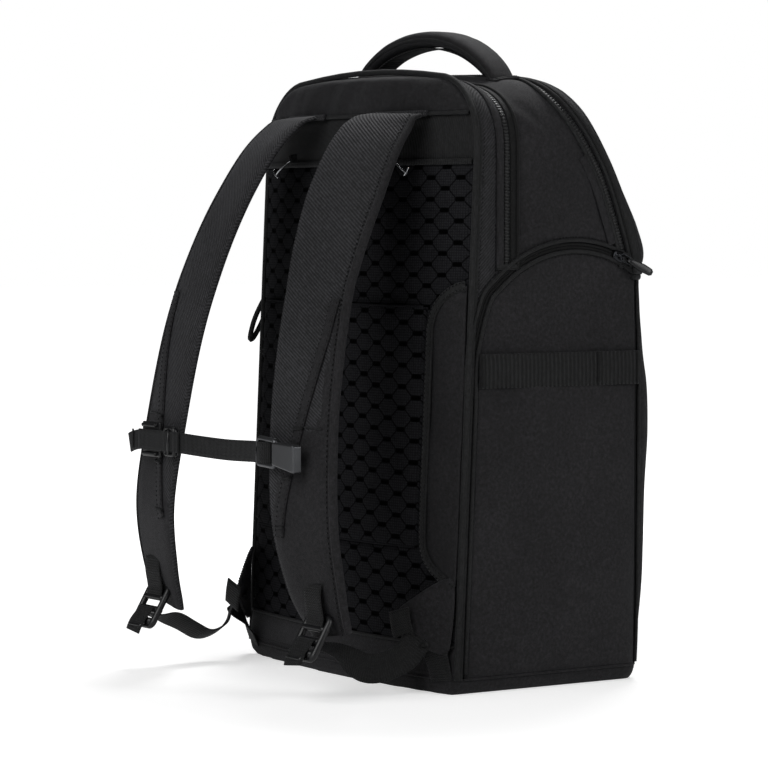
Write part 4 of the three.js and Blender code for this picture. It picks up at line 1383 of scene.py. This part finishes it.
def rounded_loop(centre, half_a, half_b, axis_a, axis_b, corner):
    """A closed rectangle with round corners in the plane of two axes."""
    points = []
    for sa, sb, start in ((1, 1, 0), (-1, 1, 90), (-1, -1, 180), (1, -1, 270)):
        middle = (sa * (half_a - corner), sb * (half_b - corner))
        points += arc_points(middle, corner, start + 22.5 * np.arange(5))
    a, b = np.array(points).T
    return np.array(centre, float) + np.outer(a, axis_a) + np.outer(b, axis_b)


def ribbon(name, points, normal, width, thickness, material=WEBBING, step=3.0):
    return sweep(name, smoothed(spline(points, step), 4), normal, flat_profile(width, thickness), material)


def lock_frame(sign):
    """The ladder lock's middle, its long axis, whose top leans in to the bag, and its outward axis."""
    lean = math.radians(LOCK_LEAN)
    centre = np.array([sign * LOCK[0], back_edge(LOCK[2]) + LOCK[1] - 2, LOCK[2]])
    up = np.array([0, -math.sin(lean), math.cos(lean)])
    out = np.array([0, math.cos(lean), math.sin(lean)])
    return centre, up, out


def crossbar(centre, half):
    return centre + np.outer(np.linspace(-half, half, 8), (1, 0, 0))


def add_ladder_lock(name, sign):
    centre, up, out = lock_frame(sign)
    body = "strap_" + name
    loop = rounded_loop(centre, 16.2, 18.5, (1, 0, 0), up, 4)
    swept("lock_frame_" + name, loop, out, round_profile(3.0), PLASTIC, body,
          "moulded_plastic", "ladder_lock_" + name, closed=True)
    bars = (("upper", 8.0, 0.8, 2.6), ("middle", -3.0, -0.6, 3.4), ("lower", -15.0, 1.4, 3.4))
    for word, level, lift, radius in bars:
        bar = crossbar(centre + up * level + out * lift, 16)
        swept(f"lock_bar_{word}_{name}", bar, out, round_profile(radius, 0, 12), PLASTIC,
              body, "moulded_plastic")
    thumb = crossbar(centre - up * 20.5 + out * 4.0, 11)
    swept("lock_thumb_" + name, thumb, out + up * 0.6, flat_profile(8, 2.2, 0.8), PLASTIC,
          body, "moulded_plastic")


RUN = (  # x, y, share of the pull that is added to y, z
    (152, 97, 0, 12), (150, 100, 0.3, 28), (145, 103, 0.8, 45), (141, 107, 1, 53), (138, 114, 1, 45),
    (136, 124, 0.8, 33), (135, 142, 0.5, 26), (134, 160, 0.2, 25), (134, 178, 0, 33))
RUN_FACING = np.array([
    (0.2, 1, 0), (0.2, 1, 0.1), (0.3, 1, 0.3), (0.8, 0.5, 0.6), (0.95, 0.3, 0.3), (1, 0.1, 0.1),
    (1, 0, 0.05), (1, 0, 0.05), (0.9, -0.1, 0.35), (0.55, -0.3, 0.8), (0.1, -0.1, 1), (0, 0.4, 1)])
LEFT_FACING = np.array([
    (0.5, 0.3, 0.8), (0.45, 0.25, 0.85), (0.4, 0.2, 0.9), (0.4, 0.1, 0.9), (0.4, 0, 0.9), (0.4, -0.1, 0.9)])


def add_adjuster(name, sign):
    """Webbing from the base corner through its sewn tab, sagging forward to the ladder lock."""
    centre, up, out = lock_frame(sign)
    x, y, z = centre
    body = "strap_" + name
    eye = centre + up * 12.5
    root = back_edge(92) + 121
    loop = [(x, root, 99), (x, root + 1, 88), eye + out * 3.6 + up * 3, eye + out * 3.2 - up,
            eye - up * 3.4, eye - out * 3.2 - up, eye - out * 3 + up * 4]
    swept("lock_keeper_" + name, smoothed(spline(loop, 2), 2), (0.001, 1, 0.3), flat_profile(26, 1.4),
          WEBBING, body, "webbing_tape", "lock_loop_" + name)
    pull = 16.0 if sign > 0 else 0.0
    run = [(sign * a, b + share * pull, c) for a, b, share, c in RUN]
    run += [(x, y - 20, 42), centre - up * 8 - out * 2.5, centre - up * 2 + out * 2.6]
    facing = RUN_FACING * np.array([sign, 1, 1])
    if sign > 0:
        facing[3:9] = LEFT_FACING
    path = smoothed(spline(run, 3), 3)
    where, keys = np.linspace(0, 1, len(path)), np.linspace(0, 1, len(facing))
    normal = unit(np.stack([np.interp(where, keys, column) for column in facing.T], 1))
    piece = sweep("adjuster_run_" + name, path, unit(smoothed(normal, 4)), flat_profile(25, 1.5), WEBBING)
    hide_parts("adjuster_webbing_" + name)
    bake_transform(piece)
    tail = [centre - up * 3 + out * 3.4, centre - up * 12 + out * 4.6, centre - up * 19 + out * 6.5,
            np.array([x + sign, y + 2, z]) - up * 27 + out * 3]
    put(ribbon("adjuster_tail_" + name, tail, out, 25, 1.5), body, "webbing_tape")


def add_corner_tab(name, sign):
    """The tab sewn into the lower back corner, and its keeper round the webbing."""
    ring = spline([(163, 98), (163, 42), (150, 36), (124, 55), (121, 66), (128, 77)], 3, closed=True)
    centre = ring.mean(0)
    stand = 30.0 if sign > 0 else 18.0
    verts = []
    for scale, rise in ((1, 0.0), (0.93, 0.8), (0.8, 1.5), (0.6, 1.9), (0.35, 2.0), (0.1, 2.0)):
        x, z = (centre + (ring - centre) * scale).T
        lift = 4.0 + stand * np.clip((160 - x) / 40, 0, 1) + rise
        verts.append(np.stack([sign * x, back_surface(x, z) + lift, z], 1))
    edge = verts[0]
    n, verts = len(ring), np.vstack(verts)
    cap = tuple(range(5 * n, 6 * n))
    faces = ring_faces(n, 6, sign < 0) + [cap if sign > 0 else cap[::-1]]
    obj = make("corner_tab_cloth_" + name, verts, faces, NYLON, verts[:, [0, 2]])
    put(thickened(obj, 2.2), "bag", "plain_nylon", "corner_tab_" + name)
    keep = edge[np.abs(edge[:, 0]) < 161.5]
    order = np.argsort(np.arctan2(keep[:, 2] - centre[1], np.abs(keep[:, 0]) - centre[0]) % (2 * math.pi))
    stitch("bag", even(keep[order] * np.array([0.985, 1, 1]) + np.array([0, 0.8, 0]), 3), Y_AXIS, 0.9)
    pull = 16.0 if sign > 0 else 3.0
    keeper = [(sign * x, back_surface(x, 60) + 18.5 + rise + pull, z)
              for x, z, rise in ((124, 71, 0), (127, 60, 1), (130, 50, 0.5))]
    put(ribbon("tab_keeper_" + name, keeper, (0, 1, 0.3), 27, 1.6), "bag", "webbing_tape")


STERNUM_Z = 205.0
STERNUM_Y = back_edge(STERNUM_Z) + 141.7


def chest(*rows):
    """Points from rows of x and offsets of y and z from the chest strap's middle line."""
    return [(x, STERNUM_Y + dy, STERNUM_Z + dz) for x, dy, dz in rows]


def add_buckle():
    """The metal plate and the clip frame that it hooks into."""
    outline = [(-99, 9.0), (-102, 9.8), (-132, 11.6), (-133.8, 10.4)]
    outline += [(x, -z) for x, z in outline[::-1]]
    centre = np.array([-116.0, 0])
    verts = []
    for scale, lift in ((1.0, -3.6), (1.0, 2.6), (0.965, 3.9), (0.9, 4.3)):
        for x, z in centre + (np.array(outline) - centre) * scale:
            verts += chest((x, lift, z + 0.09 * (x + 100)))
    n = len(outline)
    faces = ring_faces(n, 4) + [tuple(range(n))[::-1], tuple(range(3 * n, 4 * n))]
    obj = make("sternum_plate", verts, faces, GRAPHITE, smooth=False)
    bevel = obj.modifiers.new("bevel", "BEVEL")
    bevel.width = 0.0006
    bevel.segments = 2
    put(finished(obj), "sternum_strap", "dark_metal", "sternum_buckle_plate")
    loop = rounded_loop(chest((-86.5, 0, 0.4))[0], 13.5, 10.8, (1, 0, 0.05), (-0.05, 0, 1), 3.0)
    swept("sternum_clip_frame", loop, Y_AXIS, oval_profile(2.2, 3.0), GRAPHITE,
          "sternum_clip", "dark_metal", "sternum_buckle_frame", closed=True)
    bar = chest((-80, 0, -10.2), (-80, 0, 0.4), (-80, 0, 11.0))
    rim = chest((-73.4, 0.6, -8.6), (-73.2, 1.2, 0.6), (-73.4, 0.6, 10))
    for name, path, radius in (("sternum_clip_bar", bar, 1.6), ("sternum_clip_rim", rim, 2.0)):
        swept(name, path, Y_AXIS, round_profile(radius, 0, 12), SLIDER_METAL, "sternum_clip", "bright_metal")


def add_sternum():
    """The chest strap's webbing, its triglide and its slider."""
    run = chest((-92, -0.6, 0), (-86, 1.5, 0), (-79, 2.8, 0), (-68, 0.6, 0),
                (-20, -1.2, -1.5), (30, -1, -1), (70, -0.4, 0), (98, -0.4, 0))
    web = ribbon("sternum_run", run, Y_AXIS, 18, 1.3)
    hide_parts("sternum_webbing")
    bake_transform(web)
    double = chest((58, 1.2, 0), (80, 1.6, 0), (110, 1.4, 0), (128, 1.8, 0))
    put(ribbon("sternum_overlap", double, Y_AXIS, 18, 1.3), "sternum_strap", "webbing_tape")
    loop = rounded_loop(chest((75, 0.6, 0))[0], 8.0, 11.6, (1, 0, 0), (0, 0, 1), 3)
    swept("sternum_keeper_frame", loop, Y_AXIS, oval_profile(1.9, 2.7), PLASTIC,
          "sternum_strap", "moulded_plastic", "sternum_triglide", closed=True)
    bar = chest((75, 2.6, -11), (75, 3.0, 0), (75, 2.6, 11))
    swept("sternum_keeper_bar", bar, Y_AXIS, round_profile(1.6), PLASTIC, "sternum_strap", "moulded_plastic")
    slider = rounded_block("sternum_slide_base", chest((113, -2.7, 0))[0], (31, 3.0, 31), 1.4, PLASTIC)
    put(slider, "sternum_strap", "moulded_plastic", "sternum_slider")
    for k, dz in enumerate((-12.6, 12.6)):
        lip = rounded_block(f"sternum_slide_lip_{k}", chest((113, -0.2, dz))[0], (24, 4.6, 3.2), 1.3, PLASTIC)
        put(lip, "sternum_strap", "moulded_plastic")
    tail = chest((97, -1.0, 0), (120, -0.4, 0), (140, -1.0, -2), (152, -2.4, -5))
    tail = ribbon("sternum_tail_end", tail, Y_AXIS, 17.5, 1.3)
    put(tail, "sternum_strap", "webbing_tape", "sternum_tail")
    tack = ribbon("sternum_bartack", chest((141, 0.9, 8), (141, 0.9, -9)), Y_AXIS, 2.2, 0.8, TACK, 2)
    put(tack, "sternum_strap", "webbing_tape")


# ---------------------------------------------------------------- sliders, hooks, handle, pocket
def add_pull_tab(name, body, start, out, side, way, length):
    """A ring through the slider's bridge, and a moulded tab that hangs along way."""
    loop = rounded_loop(start + way * 5, 4.5, 3.0, way, side, 1.8)
    swept(name + "_ring", loop, out, round_profile(0.75, 0, 8), SLIDER_METAL,
          body, "bright_metal", body, closed=True)
    t = np.linspace(0, 1, 14)
    widths = np.interp(t, [0, 0.15, 0.6, 0.92, 1], [3.6, 5.0, 7.6, 6.4, 3.4])
    thick = np.interp(t, [0, 0.1, 0.9, 1], [1.4, 2.2, 2.2, 1.2])
    ring = np.stack([flat_profile(w, h, 0.4) for w, h in zip(widths, thick)])
    grip = start + np.outer(np.linspace(7, length, 14), way)
    flat = unit(np.cross(way, np.cross(out, way)))
    swept(name + "_pull_grip", grip, flat, ring, PLASTIC, body, "moulded_plastic")


def add_pull_loop(name, body, start, out, side, length):
    """A cord loop with a moulded collar."""
    drop = unit(np.array([0.34, 0.24, -1.0]))
    half = [(8, 3.2), (0.6 * length, 4.6), (length, 1.8)]
    shape = [(0, 0)] + half + [(down, -across) for down, across in half[::-1]]
    loop = [start + drop * down + side * across + out * 1.2 for down, across in shape]
    swept(name + "_loop_cord", spline(loop, 1.5, closed=True), out, round_profile(2.3), BINDING,
          body, "webbing_tape", body, closed=True)
    collar = [start + drop * t + out * 1.2 for t in (4, 8, 12)]
    swept(name + "_loop_collar", collar, out, oval_profile(3.6, 2.2, 12), PLASTIC, body, "moulded_plastic")


def add_slider(name, prefix, x, heading, length, way):
    """A die-cast slider on its zip, heading in degrees in the side face, and its pull."""
    body = prefix + "_slider"
    low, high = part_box(body)
    middle = (np.array(low) + np.array(high)) / 2 / MM
    spot = np.array([x, middle[1], middle[2]])
    base, normals = on_body([spot, spot + np.array(Y_AXIS)])
    out = normals[0]
    ahead = np.array([0, math.cos(math.radians(heading)), math.sin(math.radians(heading))])
    run = unit(ahead - out * (out @ ahead))
    side = np.cross(run, out)
    centre = base[0] + out * 2.0
    t = np.linspace(-0.5, 0.5, 9)
    widths = np.interp(t, [-0.5, -0.2, 0.2, 0.5], [3.4, 4.3, 4.9, 4.2])
    ring = np.stack([flat_profile(w * 2, 3.0, 0.8) for w in widths])
    path = centre + np.outer(t * 11.0, run) - out * 1.6
    swept(name + "_shell", path, out, ring, SLIDER_METAL, body, "bright_metal", body)
    arch = [centre + run * t + out * h for t, h in ((-4.2, 1.2), (-3, 3.2), (0, 4.0), (3, 3.2), (4.2, 1.2))]
    swept(name + "_bridge", spline(arch, 1), out, oval_profile(1.5, 0.8, 8), SLIDER_METAL,
          body, "bright_metal")
    start = centre + out * 3.6
    if way is None:
        add_pull_loop(name, prefix + "_pull", start, out, side, length)
    else:
        add_pull_tab(name, prefix + "_pull", start, out, side, unit(np.array(way, float)), length)


def add_sliders():
    add_slider("door_zip", "side_door", -HALF_WIDTH, 200, 31, (-0.42, -0.78, -0.5))
    add_slider("main_zip_end", "main", HALF_WIDTH, 250, 32, (0.3, -0.35, -0.9))
    add_slider("laptop_zip_end", "laptop", HALF_WIDTH, 270, 30, (0.25, 0, -1))
    add_slider("left_zip_end", "left_pocket", HALF_WIDTH, 90, 44, None)


def hook_points(top, sign, *rows):
    return [top + np.array([sign * a, b, c]) for a, b, c in rows]


def add_hooks():
    """Small wire hooks for hanging the bag, folded against the mesh under the straps."""
    for name, sign in SIDES:
        body = "fence_hook_" + name
        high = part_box(body)[1]
        top = np.array([sign * 82.0, high[1] / MM - 4, high[2] / MM - 2])
        wire = hook_points(top, sign, (0, -4, 0), (4, 0, -2), (10, 1.5, -6), (17, 2, -10), (24, 1, -14))
        cross = hook_points(top, sign, (20, 1, -16), (24, 1.6, -13), (27, 1.4, -9))
        tape = hook_points(top, sign, (-3, -5, 1), (0, -1.5, 0.5), (4, -2, -1))
        facing, rod = (0, 1, 0.05), round_profile(0.8)
        swept("hook_wire_" + name, spline(wire, 1), facing, rod, SILVER, body, "bright_metal", body)
        swept("hook_cross_" + name, spline(cross, 1), facing, rod, SILVER, body, "bright_metal")
        put(ribbon("hook_tape_" + name, tape, Y_AXIS, 8, 1.2, step=1), "bag", "webbing_tape")


HANDLE = (  # x, z, width and thickness of the grip's left half
    (110, 513, 23, 8), (105, 520, 24.5, 10), (93, 530.5, 26, 12), (76, 540.5, 27.5, 13), (55, 549, 28, 13.5),
    (28, 555, 28.5, 14), (0, 557, 28.5, 14))
HANDLE_Y = 5.0


def add_handle():
    """Padded haul handle: a crowned tube of cloth with a ribbed underside and piping on both edges."""
    rows = [(x, HANDLE_Y, z, w, t) for x, z, w, t in HANDLE]
    rows = spline(rows + [(-x, y, z, w, t) for x, y, z, w, t in rows[-2::-1]], 2.5)
    path = rows[:, :3]
    a = np.linspace(0, 2 * math.pi, 33)[:-1]
    c, s = np.cos(a), np.sin(a)
    shape = np.stack([np.sign(c) * np.abs(c) ** 0.62, np.sign(s) * np.abs(s) ** 0.75], 1)
    ring = shape[None] * rows[:, None, 3:5] / 2
    up = unit(np.cross(unit(np.gradient(path, axis=0)), Y_AXIS))
    up[up[:, 2] < 0] *= -1
    pinch = 0.35 * ripple(path + up, 14, 71) + 0.25 * ripple(path + up, 30, 72)
    ring = ring * (1 + 0.02 * pinch[:, None, None])
    grip = swept("handle_grip", path, up, ring, HANDLE_CLOTH, "haul_handle", "plain_nylon", "haul_handle")
    under = path[8:-8] - up[8:-8] * (rows[8:-8, 4:5] / 2 + 0.5)
    swept("handle_under_tape", under, -up[8:-8], flat_profile(19, 1.3, 0.2), RIBBED, "haul_handle")
    for word, edge in (("front", -1), ("rear", 1)):
        line = path + np.array([0, edge, 0]) * (rows[:, 3:4] / 2 - 0.6) - up * 0.5
        swept("handle_piping_" + word, line, up, round_profile(1.5), BINDING, "haul_handle", "plain_nylon")


def add_handle_feet():
    """The handle's two sewn feet with their stitches and bartacks."""
    for name, sign in SIDES:
        spots = [(sign * x, HANDLE_Y, z) for x, z in ((101, 522), (105, 521), (111, 520), (117, 518.6))]
        base, normals = on_body(spline(spots, 2))
        swept("handle_foot_" + name, base + normals, normals, flat_profile(27, 1.8, 0.6), HANDLE_CLOTH,
              "bag", "plain_nylon", "handle_anchor_" + name)
        for offset in (-10, 10):
            stitch("bag", base, normals, 3.4, offset)
        cross = [(sign * 113, HANDLE_Y + t, 521) for t in np.linspace(-11, 11, 8)]
        seam("foot_bartack_" + name, cross, flat_profile(2.6, 1.0, 0.4), TACK, lift=2.8)


def add_side_webbing():
    """Webbing band across the side door, tacked so that it makes loops."""
    y = np.linspace(-96, 71, 92)
    spots, _ = on_body(np.stack([np.full_like(y, -HALF_WIDTH), y, np.full_like(y, 271.5)], 1))
    stand = 3.1 + 0.65 * np.abs(np.sin((y + 96) / 160 * math.pi * 3))
    path = spots - np.array([1.0, 0, 0]) * stand[:, None]
    swept("door_webbing_band", path, (-1, 0, 0), flat_profile(29, 1.5, 0.2), RIBBED,
          "side_door", "webbing_tape", "side_webbing")
    for k, (at, width) in enumerate(((-52, 2.8), (69, 2.0), (-94, 2.0))):
        x = float(np.interp(at, y, path[:, 0])) - 1.5
        tack = [(x, at, 271.5 + t) for t in np.linspace(-13.2, 13.2, 8)]
        swept(f"webbing_bartack_{k}", tack, (-1, 0, 0), flat_profile(width, 1.0, 0.4), TACK, "side_door")


def add_bottle_pocket():
    """Stretch mesh pocket on the far side, gathered under a bound elastic top."""
    mid, half, wall = -20.0, 64.0, HALF_WIDTH + 0.3
    levels = np.linspace(44, 214, 69)
    a = np.linspace(-math.pi / 2, math.pi / 2, 97)
    bulge = table([(44, 10), (66, 19), (140, 22), (205, 21), (214, 22)], levels)
    gather = 0.8 * np.sin(a * 38)[None] * np.clip((levels - 150) / 60, 0, 1)[:, None] ** 2
    x = wall + bulge[:, None] * np.maximum(np.cos(a), 0)[None] ** 0.55 + gather * np.cos(a)[None] - 0.4
    y = mid + half * np.sin(a)[None] + 0 * x
    z = levels[:, None] + 0 * x
    grid = np.stack([x, y, z], -1)
    uv = np.stack([(half * a)[None] + 0 * x, z], -1).reshape(-1, 2)
    faces = grid_faces(len(levels), len(a))[:, [0, 3, 2, 1]]
    obj = make("bottle_pocket_cloth", grid.reshape(-1, 3), faces, AIR_MESH, uv)
    put(thickened(obj, 1.8), "bag", "air_mesh", "bottle_pocket")
    outward = unit(np.stack([np.cos(a), np.sin(a) * 0.6, 0 * a], 1))
    rim = grid[-1, 1:-1] + np.array([-0.6, 0, -2.0])
    swept("pocket_elastic_rim", rim, outward[1:-1], flat_profile(13, 2.2, 0.6), ELASTIC, "bag")
    for word, column in (("front", 2), ("rear", -3)):
        edge = grid[:, column]
        swept("pocket_side_binding_" + word, edge, (1, 0, 0), flat_profile(7, 1.6, 0.4), BINDING, "bag")
    low = grid[0]
    edge = low[1:-1] + np.array([0, 0, 1.0])
    swept("pocket_base_binding", edge, (1, 0, 0), flat_profile(6, 1.6, 0.4), BINDING, "bag")
    inner = low.copy()
    inner[:, 0] = wall - 0.4
    faces = grid_faces(2, len(a))[:, [0, 3, 2, 1]]
    put(make("pocket_floor", np.vstack([low, inner]), faces, NYLON), "bag", "plain_nylon")


def add_inside():
    """Looks for the two inner boards, which are drawn as their CAD solids."""
    for name, look in (("frame_sheet", BOARD), ("laptop_divider", LINING)):
        node = NODES[name]
        node.data.materials.clear()
        node.data.materials.append(look)


def build_stitches():
    """One piece of thread for each body, from all the dashes kept for it."""
    for key, parts in STITCHES.items():
        count = len(parts)
        faces = (np.array(OCTA)[None] + (np.arange(count) * 6)[:, None, None]).reshape(-1, 3)
        obj = make("stitching_" + key, np.concatenate(parts), faces, THREAD)
        if key in ("strap_right", "strap_left"):
            blend_strap(obj)
        else:
            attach(obj, key)


# ---------------------------------------------------------------- floor, lights and camera
def add_floor():
    """A white floor that glows more with distance, so that its far part meets the white background."""
    look = Look("studio_floor", roughness=0.75, specular=0.2)
    slow = look.noise(3, 2, 0.5)
    look.colour(look.ramp(slow, [(0.3, (0.83, 0.83, 0.83)), (0.7, (0.86, 0.86, 0.86))]))
    look.shader.inputs["Emission Color"].default_value = (1, 1, 1, 1)
    seen = look.tree.nodes.new("ShaderNodeLightPath").outputs["Is Camera Ray"]
    split = look.tree.nodes.new("ShaderNodeSeparateXYZ")
    look.link(look.place, split.inputs[0])
    x, y = split.outputs[0], split.outputs[1]
    distance = look.math("SQRT", look.times(x, x, look.times(y, y)))
    glow = look.times(look.limited(look.times(distance, 0.8, -0.3)), 0.56, 0.44)
    look.link(look.times(seen, glow, 0.06), look.shader.inputs["Emission Strength"])
    size = 14.0
    corners = [(-size, -size, 0), (size, -size, 0), (size, size, 0), (-size, size, 0)]
    mesh = bpy.data.meshes.new("studio_floor")
    mesh.from_pydata(corners, [], [(0, 1, 2, 3)])
    mesh.materials.append(look.material)
    linked("studio_floor", mesh)


def add_world():
    """A background that is white to the camera and gives only a little light."""
    world = bpy.data.worlds.new("studio")
    bpy.context.scene.world = world
    world.use_nodes = True
    tree = world.node_tree
    background = tree.nodes["Background"]
    background.inputs["Color"].default_value = (1.0, 1.0, 1.0, 1)
    seen = tree.nodes.new("ShaderNodeLightPath").outputs["Is Camera Ray"]
    strength = tree.nodes.new("ShaderNodeMapRange")
    strength.inputs["To Min"].default_value = 0.05
    strength.inputs["To Max"].default_value = 1.0
    tree.links.new(seen, strength.inputs["Value"])
    tree.links.new(strength.outputs[0], background.inputs["Strength"])


def add_light(name, place, target, size, power):
    data = bpy.data.lights.new(name, "AREA")
    data.energy = power
    data.shape = "RECTANGLE"
    data.size, data.size_y = size
    obj = linked(name, data)
    obj.location = place
    obj.rotation_euler = (Vector(target) - Vector(place)).to_track_quat("-Z", "Y").to_euler()


def add_camera():
    data = bpy.data.cameras.new("camera")
    data.lens = 155.4
    data.sensor_width = 36
    camera = linked("camera", data)
    azimuth, pitch = math.radians(236.7), math.radians(2.913)
    camera.location = (-2.436, 1.656, 0.402)
    level = math.cos(pitch)
    back = Vector((math.sin(azimuth) * level, -math.cos(azimuth) * level, math.sin(pitch)))
    camera.rotation_euler = back.to_track_quat("Z", "Y").to_euler()
    bpy.context.scene.camera = camera


add_skin()
add_zip_beds()
add_side_zip()
add_main_zip()
add_laptop_zip()
add_left_zip()
add_panel_seams()
add_back_piping()
add_back_panel()
add_back_bands()
add_wing()
for side_name, side_sign in SIDES:
    add_strap(side_name, side_sign)
    add_strap_root(side_name, side_sign)
    add_ladder_lock(side_name, side_sign)
    add_adjuster(side_name, side_sign)
    add_corner_tab(side_name, side_sign)
add_buckle()
add_sternum()
add_sliders()
add_hooks()
add_handle()
add_handle_feet()
add_side_webbing()
add_bottle_pocket()
add_inside()
build_stitches()
add_floor()
add_world()
add_light("key", (-0.7, 2.5, 1.9), (0, 0.1, 0.3), (2.6, 2.2), 56)
add_light("side", (-2.7, -0.7, 1.5), (-0.1, 0, 0.25), (1.3, 1.3), 30)
add_light("top", (0.9, -0.9, 2.3), (0, 0, 0.2), (1.0, 1.0), 34)
add_camera()

bpy.context.scene.view_settings.view_transform = "Standard"
